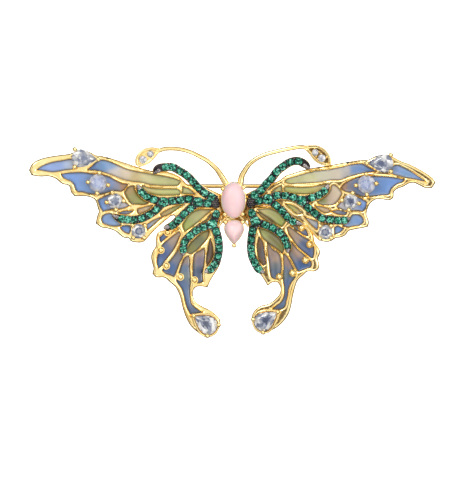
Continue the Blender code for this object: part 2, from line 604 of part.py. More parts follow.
def ribbon(route, half_width, wide=(), tail=True):
    """The outline of a rail along a route, wider at its large stones."""
    curve = smooth(route, closed=False, steps=4)
    run = thin_out(curve, 0.02)
    swell = [Vector(route[i]) for i in wide if i < len(route)]
    left, right = [], []
    for i, point in enumerate(run):
        way = (run[min(i + 1, len(run) - 1)] - run[max(i - 1, 0)]).normalized()
        side = Vector((-way.y, way.x))
        width = half_width
        if any((point - s).length < 0.5 for s in swell):
            width = BIG_SEAT
        if tail and i == len(run) - 1:
            width = half_width * 0.35
        left.append(point + side * width)
        right.append(point - side * width)
    return left + right[::-1]


# ---------------------------------------------------------------- solids

def material(name, colour, roughness, metallic, transmission=0.0):
    made = bpy.data.materials.new(name)
    made.use_nodes = True
    shader = made.node_tree.nodes["Principled BSDF"]
    shader.inputs["Base Color"].default_value = (*colour, 1.0)
    shader.inputs["Roughness"].default_value = roughness
    shader.inputs["Metallic"].default_value = metallic
    shader.inputs["Transmission Weight"].default_value = transmission
    made.diffuse_color = (*colour, 1.0)
    return made


def put(name, mesh_data, parent=None, look=None, helper=False):
    """Make an object of a finished bmesh."""
    bmesh.ops.recalc_face_normals(mesh_data, faces=mesh_data.faces)
    mesh = bpy.data.meshes.new(name)
    mesh_data.to_mesh(mesh)
    mesh_data.free()
    thing = bpy.data.objects.new(name, mesh)
    bpy.context.scene.collection.objects.link(thing)
    thing.parent = parent
    if look:
        mesh.materials.append(look)
    if helper:
        thing.hide_render = True
        thing.display_type = "WIRE"
    return thing


def add_loft(mesh_data, rings):
    """Close a solid through rings of equal count; a ring is a list of (x, z, height)."""
    loops = [[mesh_data.verts.new(Vector((x, -h, z)) * MM) for x, z, h in ring] for ring in rings]
    for low, high in zip(loops, loops[1:]):
        for i in range(len(low)):
            j = (i + 1) % len(low)
            mesh_data.faces.new((low[i], low[j], high[j], high[i]))
    mesh_data.faces.new(loops[0])
    mesh_data.faces.new(loops[-1])


def add_prism(mesh_data, loop, low, high):
    add_loft(mesh_data, [[(p.x, p.y, h) for p in loop] for h in (low, high)])


def prism(name, loop, low, high, parent=None, look=None, helper=False):
    mesh_data = bmesh.new()
    add_prism(mesh_data, loop, low, high)
    return put(name, mesh_data, parent, look, helper)


def prisms(name, shapes, parent=None):
    """A helper made of separate prisms; each shape is (loop, low, high)."""
    mesh_data = bmesh.new()
    for loop, low, high in shapes:
        add_prism(mesh_data, loop, low, high)
    return put(name, mesh_data, parent, helper=True)


def scaled(loop, share, height):
    middle = sum(loop, Vector((0, 0))) / len(loop)
    return [(*(middle + (p - middle) * share), height) for p in loop]


def tube(name, places, radius, sides=8, end_radius=None, parent=None, look=None, helper=False):
    """A round bar through (x, z, height) places, tapering after its last place but one."""
    mesh_data = bmesh.new()
    points = [Vector(p) for p in places]
    rings = []
    for i, point in enumerate(points):
        way = (points[min(i + 1, len(points) - 1)] - points[max(i - 1, 0)]).normalized()
        across = way.cross(Vector((0, 0, 1)))
        across = across.normalized() if across.length > 0.1 else Vector((1, 0, 0))
        up = across.cross(way).normalized()
        size = end_radius if end_radius and i == len(points) - 1 else radius
        rings.append([tuple(point + (across * cos(a) + up * sin(a)) * size)
                      for a in (2 * pi * k / sides for k in range(sides))])
    add_loft(mesh_data, rings)
    return put(name, mesh_data, parent, look, helper)


def boolean(target, other, operation):
    step = target.modifiers.new(other.name, "BOOLEAN")
    step.operation = operation
    step.object = other
    step.solver = "EXACT"


def box(name, low, high, parent=None):
    """A helper box between two (x, y, z) corners."""
    mesh_data = bmesh.new()
    bmesh.ops.create_cube(mesh_data, size=1.0)
    for vertex in mesh_data.verts:
        share = vertex.co + Vector((0.5, 0.5, 0.5))
        vertex.co = Vector([a + (b - a) * s for a, b, s in zip(low, high, share)]) * MM
    return put(name, mesh_data, parent, helper=True)


# ---------------------------------------------------------------- pieces of a wing

def stone(name, loop, cabochon, parent, look):
    """A dome with a flat base, or a brilliant with a crown and a cut-off pavilion."""
    base, girdle, table = (PLATE_THICK + h for h in (0.25, STONE_GIRDLE, STONE_TABLE))
    if cabochon:
        steps = ((0.9, base), (1.0, base + 0.3), (0.93, girdle), (0.72, table), (0.36, table + 0.32))
    else:
        steps = ((0.35, base), (1.0, girdle - 0.08), (1.0, girdle), (0.6, table))
    mesh_data = bmesh.new()
    add_loft(mesh_data, [scaled(loop, share, height) for share, height in steps])
    return put(name, mesh_data, parent, look)


def fittings(settings, beads, clearance=0.0):
    """Every seat, prong and bead that stands on one wing, as (loop, low, high)."""
    low = CELL_FLOOR - 0.2
    shapes = []
    for setting in settings:
        loop, centre = stone_outline(setting), setting[1]
        seat = circle(centre, SEAT_SHARE * edge_distance(Vector(centre), loop) + clearance, 8)
        shapes.append((seat, low, PLATE_THICK + 0.2))
        for place in prong_places(loop, centre, setting[3]):
            shapes.append((circle(place, PRONG_R + clearance, 6), low, PLATE_THICK + PRONG_RISE))
    for place in beads:
        shapes.append((circle(place, BEAD_R + clearance, 8), low, PLATE_THICK + 0.35))
    return shapes


def wing(side, part, data, settings, beads, parent, looks):
    """One gold tray with its cells cut, its settings raised and its enamel fields."""
    name = f"{side}_{part}wing"
    tray = prism(name, outline(data[f"{part}_edge"]), 0.0, PLATE_THICK, parent, looks["gold"])
    rims = [settings[key] for key in settings if key in RIM_SETTINGS]
    pads = [(grow(stone_outline(s), PAD_RIM), 0.0, PLATE_THICK) for s in rims]
    boolean(tray, prisms(f"{name}_pads", pads, parent), "UNION")
    cells = {key: outline(points) for key, points in data[f"{part}_cells"].items()}
    cuts = [(loop, CELL_FLOOR, PLATE_THICK + 1) for loop in cells.values()]
    boolean(tray, prisms(f"{name}_cells", cuts, parent), "DIFFERENCE")
    raised = fittings(settings.values(), beads)
    boolean(tray, prisms(f"{name}_fittings", raised, parent), "UNION")
    holes = [(loop, 0.0, PLATE_THICK + 1)
             for loop, _, _ in fittings(settings.values(), beads, GAP)]
    drill = prisms(f"{name}_drill", holes, parent)
    for key, loop in cells.items():
        if key in PANES:
            pane = prism(f"{side}_enamel_{key}", grow(loop, -GAP), CELL_FLOOR + GAP, ENAMEL_TOP,
                         parent, looks["green" if key in GREEN else "blue"])
            boolean(pane, drill, "DIFFERENCE")


def branch(name, routes, patch, parent, look):
    """A gem-set rail with its forks, as one body."""
    low = PLATE_THICK + GAP
    body = None
    for key, route in routes:
        loop = ribbon(route, RAIL_HALF_WIDTH, BIG_STONES.get(key, ()))
        if body is None:
            body = prism(name, loop, low, low + RAIL_THICK, parent, look)
        else:
            fork = prism(f"{name}_{key}", loop, low, low + RAIL_THICK, parent, helper=True)
            boolean(body, fork, "UNION")
    if patch:
        root = prism(f"{name}_patch", outline(patch), low, low + RAIL_THICK, parent, helper=True)
        boolean(body, root, "UNION")


def antenna(side, data, parent, looks):
    """A wire that ends in a leaf with two small stones."""
    height = PLATE_THICK + GAP + WIRE_R
    run = thin_out(smooth(data["wire"], closed=False, steps=3), 0.04)
    wire = tube(f"{side}_antenna", [(p.x, p.y, height) for p in run], WIRE_R, parent=parent,
                look=looks["gold"])
    low = PLATE_THICK + GAP
    leaf = prism(f"{side}_leaf", outline(data["leaf"]), low, low + LEAF_THICK, parent, helper=True)
    boolean(wire, leaf, "UNION")
    for number, (place, size) in enumerate(zip(data["leafstones"], LEAF_STONES_D), start=1):
        loop, top = circle(place, size / 2, 10), low + LEAF_THICK
        mesh_data = bmesh.new()
        add_loft(mesh_data, [scaled(loop, share, top + height) for share, height
                             in ((0.6, GAP), (1.0, 0.3), (1.0, 0.36), (0.6, 0.6))])
        put(f"{side}_antenna_stone_{number}", mesh_data, parent, looks["stone"])


def rescaled(data):
    """The drawn points at the chosen size of wing."""
    if isinstance(data, dict):
        return {key: rescaled(value) for key, value in data.items()}
    return [(x * WING_SCALE, z * WING_SCALE) for x, z in data]


def wing_side(side, data, settings, sign, looks):
    """Everything in the plane of one pair of wings."""
    data = rescaled(data)
    settings = {key: (kind, (x * WING_SCALE, z * WING_SCALE), heading, prongs)
                for key, (kind, (x, z), heading, prongs) in settings.items()}
    plane = bpy.data.objects.new(f"{side}_plane", None)
    bpy.context.scene.collection.objects.link(plane)
    out, forward = WING_OUT * cos(radians(TILT)), WING_OUT * sin(radians(TILT))
    plane.location = (sign * out * MM, -(WING_BACK + forward) * MM, 0)
    plane.rotation_euler = (0, 0, -sign * radians(TILT))
    fore = {key: value for key, value in settings.items() if key != "tail_pear"}
    hind = {"tail_pear": settings["tail_pear"]}
    wing(side, "fore", data, fore, (), plane, looks)
    wing(side, "hind", data, hind, data["beads"], plane, looks)
    rails = data["rails"]
    branch(f"{side}_fore_branch", [(key, rails[key]) for key in FORE_RAILS], data["patch"],
           plane, looks["pave"])
    branch(f"{side}_hind_branch", [(key, rails[key]) for key in HIND_RAILS], None, plane,
           looks["pave"])
    for key, setting in settings.items():
        kind = setting[0]
        look = looks["moonstone"] if kind in ("cabochon", "round") else looks["stone"]
        stone(f"{side}_{key}_stone", stone_outline(setting), kind in ("cabochon", "round"), plane,
              look)
    antenna(side, data, plane, looks)


# ---------------------------------------------------------------- body

def cabochon(name, loop, base, look):
    """A domed stone on its flange."""
    mesh_data = bmesh.new()
    steps = ((0.94, 0.0), (1.0, 0.3), (0.95, 0.9), (0.78, 1.5), (0.45, 0.95 * CABOCHON_RISE))
    add_loft(mesh_data, [scaled(loop, share, base + rise) for share, rise in steps])
    put(name, mesh_data, None, look)


def thorax(looks):
    """The back plate, the two cabochon settings and the struts to the hind wings."""
    mirrored = [(-x, z) for x, z in reversed(THORAX_HALF[1:-1])]
    plate = prism("thorax_setting", outline(THORAX_HALF + mirrored), 0.0, 2 * THORAX_THICK, None,
                  looks["gold"])
    for sign in (-1, 1):
        seat = box(f"wing_seat_{sign}", (min(0, sign * CUTTER_REACH), -CUTTER_REACH, -CUTTER_REACH),
                   (max(0, sign * CUTTER_REACH), 0, CUTTER_REACH))
        seat.location = (0, (GAP - WING_BACK) * MM, 0)
        seat.rotation_euler = (0, 0, -sign * radians(TILT))
        boolean(plate, seat, "DIFFERENCE")
    oval = circle((0, 0), OVAL_WIDTH / 2, 24, OVAL_HEIGHT / OVAL_WIDTH)
    drop = pear(DROP_CENTRE, DROP_LENGTH, DROP_WIDTH, -90, 20)
    for key, loop, centre, angles, top in (
        ("oval", oval, (0, 0), (134, 51, 239, -57), FLANGE_FRONT),
        ("drop", drop, DROP_CENTRE, (131, 49, -90), FLANGE_FRONT - STEP_DOWN),
    ):
        low = top - FLANGE_FRONT + THORAX_THICK / 2
        middle = [Vector(p[:2]) for p in scaled(loop, 0.8, 0)]
        collar = prism(f"{key}_collar", middle, low, top - 0.1, None, helper=True)
        boolean(plate, collar, "UNION")
        flange = prism(f"{key}_flange", grow(loop, 0.2), top - FLANGE_THICK, top, None, helper=True)
        boolean(plate, flange, "UNION")
        prongs = [(circle(place, PRONG_R, 8), top - FLANGE_THICK / 2, top + PRONG_ABOVE_FLANGE)
                  for place in prong_places(loop, centre, angles)]
        boolean(plate, prisms(f"{key}_prongs", prongs), "UNION")
        cabochon(f"{key}_cabochon", loop, top + GAP, looks["opal"])
    height = FLANGE_FRONT - FLANGE_THICK / 2
    root = (OVAL_WIDTH / 2 * cos(STRUT_ANGLE), -OVAL_HEIGHT / 2 * sin(STRUT_ANGLE))
    for sign in (-1, 1):
        start, end = (sign * root[0], root[1], height), (sign * STRUT_END[0], STRUT_END[1], height)
        strut = tube(f"strut_{sign}", [start, end], STRUT_R, helper=True)
        boolean(plate, strut, "UNION")


# ---------------------------------------------------------------- pin and catch

def lean_front(mesh_data):
    """Slope a post's front end to the leaning back of the wing that it stands on."""
    for vertex in mesh_data.verts:
        if vertex.co.y < 0:
            lean = abs(vertex.co.x) * tan(radians(TILT))
            vertex.co.y = -lean + (2 * GAP - WING_BACK) * MM


def post(name, x_range, y_top, z_range, look, helper=False):
    """A square post from the back of a wing to y_top."""
    mesh_data = bmesh.new()
    bmesh.ops.create_cube(mesh_data, size=1.0)
    low = Vector((x_range[0], -1.0, z_range[0]))
    high = Vector((x_range[1], y_top, z_range[1]))
    for vertex in mesh_data.verts:
        share = vertex.co + Vector((0.5, 0.5, 0.5))
        vertex.co = Vector([a + (b - a) * s for a, b, s in zip(low, high, share)]) * MM
    lean_front(mesh_data)
    return put(name, mesh_data, None, look, helper)


def turned(name, profile, axis, centre, sides=20, look=None, helper=False):
    """A ring or bar turned about X or Z; the profile is (radius, along) points."""
    mesh_data = bmesh.new()
    rings = []
    for k in range(sides):
        a = 2 * pi * k / sides
        ring = []
        for radius, along in profile:
            if axis == "X":
                place = (along, radius * cos(a), radius * sin(a))
            else:
                place = (radius * cos(a), radius * sin(a), along)
            ring.append(mesh_data.verts.new((Vector(place) + Vector(centre)) * MM))
        rings.append(ring)
    count = len(profile)
    for k in range(sides):
        here, there = rings[k], rings[(k + 1) % sides]
        for i in range(count):
            j = (i + 1) % count
            mesh_data.faces.new((here[i], here[j], there[j], there[i]))
    return put(name, mesh_data, None, look, helper)


def disc_stack(name, steps, axis, centre, sides=20, look=None, helper=False):
    """A solid bar turned about X or Z; steps are (radius, along) from end to end."""
    mesh_data = bmesh.new()
    loops = []
    for radius, along in steps:
        loop = []
        for k in range(sides):
            a = 2 * pi * k / sides
            if axis == "X":
                place = (along, radius * cos(a), radius * sin(a))
            else:
                place = (radius * cos(a), radius * sin(a), along)
            loop.append(mesh_data.verts.new((Vector(place) + Vector(centre)) * MM))
        loops.append(loop)
    for low, high in zip(loops, loops[1:]):
        for i in range(sides):
            j = (i + 1) % sides
            mesh_data.faces.new((low[i], low[j], high[j], high[i]))
    mesh_data.faces.new(loops[0])
    mesh_data.faces.new(loops[-1])
    return put(name, mesh_data, None, look, helper)


def hinge(look):
    """A forked post; the pin's eye turns on a rivet between its ears."""
    half = EYE_THICK / 2 + 0.05
    outer = half + EAR_THICK
    z_range = (PIN_Z - outer, PIN_Z + outer)
    base = post("hinge_base", (HINGE_X - EAR_R, HINGE_X + EAR_R), PIN_STAND, z_range, look)
    pivot = (HINGE_X, PIN_STAND, PIN_Z)
    top = disc_stack("hinge_ears", [(EAR_R, -outer), (EAR_R, outer)], "Z", pivot, helper=True)
    boolean(base, top, "UNION")
    reach = EYE_R + 0.2
    slot = box("hinge_slot", (HINGE_X - 3, PIN_STAND - reach, PIN_Z - half),
               (HINGE_X + 3, PIN_STAND + 3, PIN_Z + half))
    boolean(base, slot, "DIFFERENCE")
    hole_r = RIVET_R + GAP
    hole = disc_stack("hinge_hole", [(hole_r, -2), (hole_r, 2)], "Z", pivot, 12, helper=True)
    boolean(base, hole, "DIFFERENCE")
    end = outer + 0.05
    head = [(RIVET_HEAD_R, end), (RIVET_HEAD_R, end + 0.15), (0.7 * RIVET_HEAD_R, end + 0.3)]
    foot = [(radius, -along) for radius, along in reversed(head)]
    disc_stack("hinge_rivet", foot + [(RIVET_R, -end), (RIVET_R, end)] + head, "Z", pivot, 12, look)


def pin_stem(look):
    """The stem with its eye; it points at +X when it is closed."""
    hole_r = RIVET_R + RUNNING
    half = EYE_THICK / 2
    eye = [(hole_r, -half), (EYE_R, -half), (EYE_R, half), (hole_r, half)]
    stem = turned("pin_stem", eye, "Z", (HINGE_X, PIN_STAND, PIN_Z), 20, look)
    start, tip = HINGE_X + 0.62, CATCH_X + PIN_TIP
    steps = [(PIN_R, start), (PIN_R, tip - 1.6), (0.22, tip - 0.6), (0.06, tip)]
    shaft = disc_stack("pin_shaft", steps, "X", (0, PIN_STAND, PIN_Z), 12, helper=True)
    boolean(stem, shaft, "UNION")


def catch_base(look):
    """A post with a C-shaped barrel that is open towards the back."""
    half = SLEEVE_LENGTH / 2 - 0.05
    inner = SLEEVE_R + RUNNING
    outer = inner + CATCH_WALL
    angles = [radians(CATCH_MOUTH + (360 - 2 * CATCH_MOUTH) * k / 14) for k in range(15)]
    loop = [(outer * cos(a), outer * sin(a)) for a in angles]
    loop += [(inner * cos(a), inner * sin(a)) for a in reversed(angles)]
    mesh_data = bmesh.new()
    ends = [[mesh_data.verts.new(Vector((CATCH_X + x, PIN_STAND + y, PIN_Z + z)) * MM)
             for y, z in loop] for x in (-half, half)]
    for i in range(len(loop)):
        j = (i + 1) % len(loop)
        mesh_data.faces.new((ends[0][i], ends[0][j], ends[1][j], ends[1][i]))
    mesh_data.faces.new(ends[0])
    mesh_data.faces.new(ends[1])
    barrel = put("catch_base", mesh_data, None, look)
    foot = post("catch_foot", (CATCH_X - half + 0.1, CATCH_X + half - 0.1),
                PIN_STAND - inner - CATCH_WALL / 2, (PIN_Z - 0.7, PIN_Z + 0.7), None, helper=True)
    boolean(barrel, foot, "UNION")


def safety_sleeve(look):
    """The slotted sleeve that locks the stem when its lever rolls it over."""
    half = SLEEVE_LENGTH / 2
    end = half + SLEEVE_FLANGE
    profile = [(SLEEVE_BORE_R, -end), (FLANGE_R, -end), (FLANGE_R, -half), (SLEEVE_R, -half),
               (SLEEVE_R, half), (FLANGE_R, half), (FLANGE_R, end), (SLEEVE_BORE_R, end)]
    centre = (CATCH_X, PIN_STAND, PIN_Z)
    sleeve = turned("safety_sleeve", profile, "X", centre, 24, look)
    mouth = SLEEVE_SLOT / 2
    slot = box("sleeve_slot", (CATCH_X - 3, PIN_STAND, PIN_Z - mouth),
               (CATCH_X + 3, PIN_STAND + 3, PIN_Z + mouth))
    boolean(sleeve, slot, "DIFFERENCE")
    lever = box("sleeve_lever", (-0.5, SLEEVE_R - 0.25, -0.17), (0.5, LEVER_REACH, 0.17))
    lever.location = Vector(centre) * MM
    lever.rotation_euler = (radians(LEVER_ANGLE), 0, 0)
    boolean(sleeve, lever, "UNION")


# ---------------------------------------------------------------- assembly

def main():
    for thing in list(bpy.data.objects):
        bpy.data.objects.remove(thing)
    looks = {
        "gold": material("gold", (0.93, 0.68, 0.33), 0.18, 1.0),
        "pave": material("emerald_pave", (0.02, 0.35, 0.22), 0.15, 0.0),
        "blue": material("blue_enamel", (0.1, 0.22, 0.5), 0.12, 0.0),
        "green": material("green_enamel", (0.42, 0.47, 0.18), 0.12, 0.0),
        "stone": material("clear_stone", (0.85, 0.88, 0.95), 0.03, 0.0, 0.8),
        "moonstone": material("moonstone", (0.8, 0.83, 0.9), 0.08, 0.0, 0.3),
        "opal": material("pink_opal", (0.93, 0.78, 0.8), 0.1, 0.0),
    }
    wing_side("left", LEFT, LEFT_SETTINGS, -1, looks)
    wing_side("right", RIGHT, RIGHT_SETTINGS, 1, looks)
    thorax(looks)
    hinge(looks["gold"])
    pin_stem(looks["gold"])
    catch_base(looks["gold"])
    safety_sleeve(looks["gold"])


main()
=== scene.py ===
"""The looks of the butterfly brooch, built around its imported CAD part.

Everything is drawn in millimetres in the plane of the wings, with the front towards -Y,
and is turned into metres when a piece is made.  The outlines, the stones' places and the
sizes of the pin repeat those of the part.
"""

import random
from math import cos, exp, pi, radians, sin, sqrt, tan

import bmesh
import bpy
import numpy as np
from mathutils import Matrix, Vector
from mathutils.geometry import delaunay_2d_cdt


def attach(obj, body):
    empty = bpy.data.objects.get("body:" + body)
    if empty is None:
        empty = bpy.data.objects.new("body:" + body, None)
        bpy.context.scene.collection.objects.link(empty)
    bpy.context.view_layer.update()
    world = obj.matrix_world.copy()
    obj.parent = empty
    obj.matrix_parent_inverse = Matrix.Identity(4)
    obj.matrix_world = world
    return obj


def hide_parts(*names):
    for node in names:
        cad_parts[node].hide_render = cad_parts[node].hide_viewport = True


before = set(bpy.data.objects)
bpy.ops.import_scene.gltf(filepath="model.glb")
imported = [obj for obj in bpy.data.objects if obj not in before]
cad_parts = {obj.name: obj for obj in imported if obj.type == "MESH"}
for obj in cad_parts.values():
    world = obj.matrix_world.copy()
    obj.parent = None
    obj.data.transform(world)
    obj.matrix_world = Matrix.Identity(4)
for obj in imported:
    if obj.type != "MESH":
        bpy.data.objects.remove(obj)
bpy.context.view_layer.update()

MM = 0.001
TILT = radians(6.0)          # how far each pair of wings leans forward
WING_BACK = 1.0              # the backs of the wings stand this far in front of the body's back
WING_OUT = 0.2               # and the wings this far out from where they are drawn

# Heights above the back of a wing.
PLATE_THICK = 1.2
CELL_FLOOR = 0.45
ENAMEL_LEVEL = 0.86
RAIL_LOW = 1.26
RAIL_TOP = 1.98
STONE_BASE = 1.45
GIRDLE = 2.0
TABLE = 2.5
MOONSTONE_TABLE = 2.7
PRONG_TOP = 2.45
TAIL_SETTING = (0.9, 1.7, 1.3)             # back, top and floor of the rims of the tail stones
COLLAR_TOP = 1.32

# A large stone's open cup: (share of the stone's outline, height) points of its section.
CUP = ((0.76, 0.9), (0.95, 1.76), (0.88, 1.8), (0.45, 1.3), (0.76, 0.9))

# Widths and roundings.
RIM = 0.4                    # radius of a tray's rounded edges
EDGE_SWELL = 0.08            # the rounded edges stand this far outside the drawn outline
PAD_RIM = 0.34               # gold that shows round a stone on the edge of a wing
BACK_ROUNDING = 0.6          # the back edges' radius as a share of the front edges'
RAIL_HALF_WIDTH = 0.66
RAIL_EDGE = 0.06             # how far the gold shows beyond a dark rail
BIG_SEAT = 0.82              # half width of a rail at its larger stones
PAVE_D = 1.28
BIG_PAVE_D = 1.62
PRONG_R = 0.24
PRONG_HEAD_R = 0.38
PRONG_HEAD_RISE = 0.4
LEAF_PRONG_R = 0.08
BEAD_R = 0.5
COLLAR_R = 0.64              # the flat collar round each bead
WIRE_R = 0.35
MOONSTONE_D = 3.0
ROUND_D = 2.5
SMALL_D = 2.4
PEAR_LENGTH = 4.2
PEAR_WIDTH = 3.05
LEAF_STONES_D = (1.25, 1.1)
LEAF_PRONGS = (10, 100, 190, 280)
TAIL_BEADS = ((0.6, 0.4), (0.82, 0.32), (1.0, 0.24))    # (share of the tail, radius)

# The enamel.
PANE_CROWN = 0.13            # how much higher a pane is inside than at its edge
PANE_EDGE = 0.35             # the distance over which it rises
PANE_SHADOW = 0.17           # width of the painted shadow, a brown line along the gold
SHADOW_SHARE = 0.9           # how much of the colour at the gold is the painted shadow's brown

# Spacing of the points inside the surfaces, and of the grains in the granulated patches.
ROW_SHARES = (0.06, 0.2, 0.45, 0.75, 1.1)  # rows along a rounded edge, as shares of its radius
PLATE_GRID = 0.45
PANE_GRID = 0.28
GRAIN_GRID = 0.36
GRAIN_R = 0.13

# The body.  Heights are above its back.
OVAL_WIDTH = 4.0
OVAL_HEIGHT = 6.0
DROP_WIDTH = 3.2
DROP_LENGTH = 4.0
DROP_CENTRE = (0.1, -5.35)
THORAX_FRONT = 0.94
FLANGE_FRONT = 3.6
FLANGE_THICK = 0.25
STEP_DOWN = 0.08
CABOCHON_RISE = 1.96

# The pin.
PIN_R = 0.35
PIN_STAND = 4.8
PIN_Z = 2.3
HINGE_X = -14.0
PIN_EYE = (0.4, 0.88, 0.45)                # hole radius, outer radius and half thickness
SHAFT = ((0.2, 0.62), (PIN_R, 0.75), (PIN_R, 29.4), (0.31, 30.0), (0.2, 30.5), (0.1, 30.85),
         (0.03, 31.0))                     # (radius, distance from the pivot)
RIVET_R = 0.3
RIVET_HEAD = ((RIVET_R, 1.29), (0.38, 1.26), (0.5, 1.16), (0.55, 1.02))

CORNER = 50.0                # an outline keeps a corner where it turns by more degrees than this

# The picture and its light.
PICTURE_WIDTH = 79.75
CAMERA_PLACE = (-1.08, -300.0, -6.65)
LIGHTS = (                   # name, place and size in metres, watts
    ("key", (-0.16, -0.3, 0.26), 0.16, 0.5),
    ("fill", (0.24, -0.26, 0.05), 0.14, 0.25),
    ("low", (-0.05, -0.3, -0.2), 0.12, 0.12),
    ("rear", (0.2, 0.34, 0.22), 0.3, 0.9),
)
SURROUND = (                 # (place from front to back, colour) stops of the room's light
    (0.0, (255, 255, 255)), (0.31, (250, 248, 244)), (0.38, (214, 204, 188)),
    (0.46, (70, 52, 34)), (0.54, (10, 7, 4)), (0.68, (12, 9, 6)), (0.8, (150, 140, 130)),
    (1.0, (232, 230, 226)),
)
ROOM_PATCHES = ((0.33, (90, 70, 48)), (0.42, (255, 255, 255)))
ROOM_LIGHT = 1.16

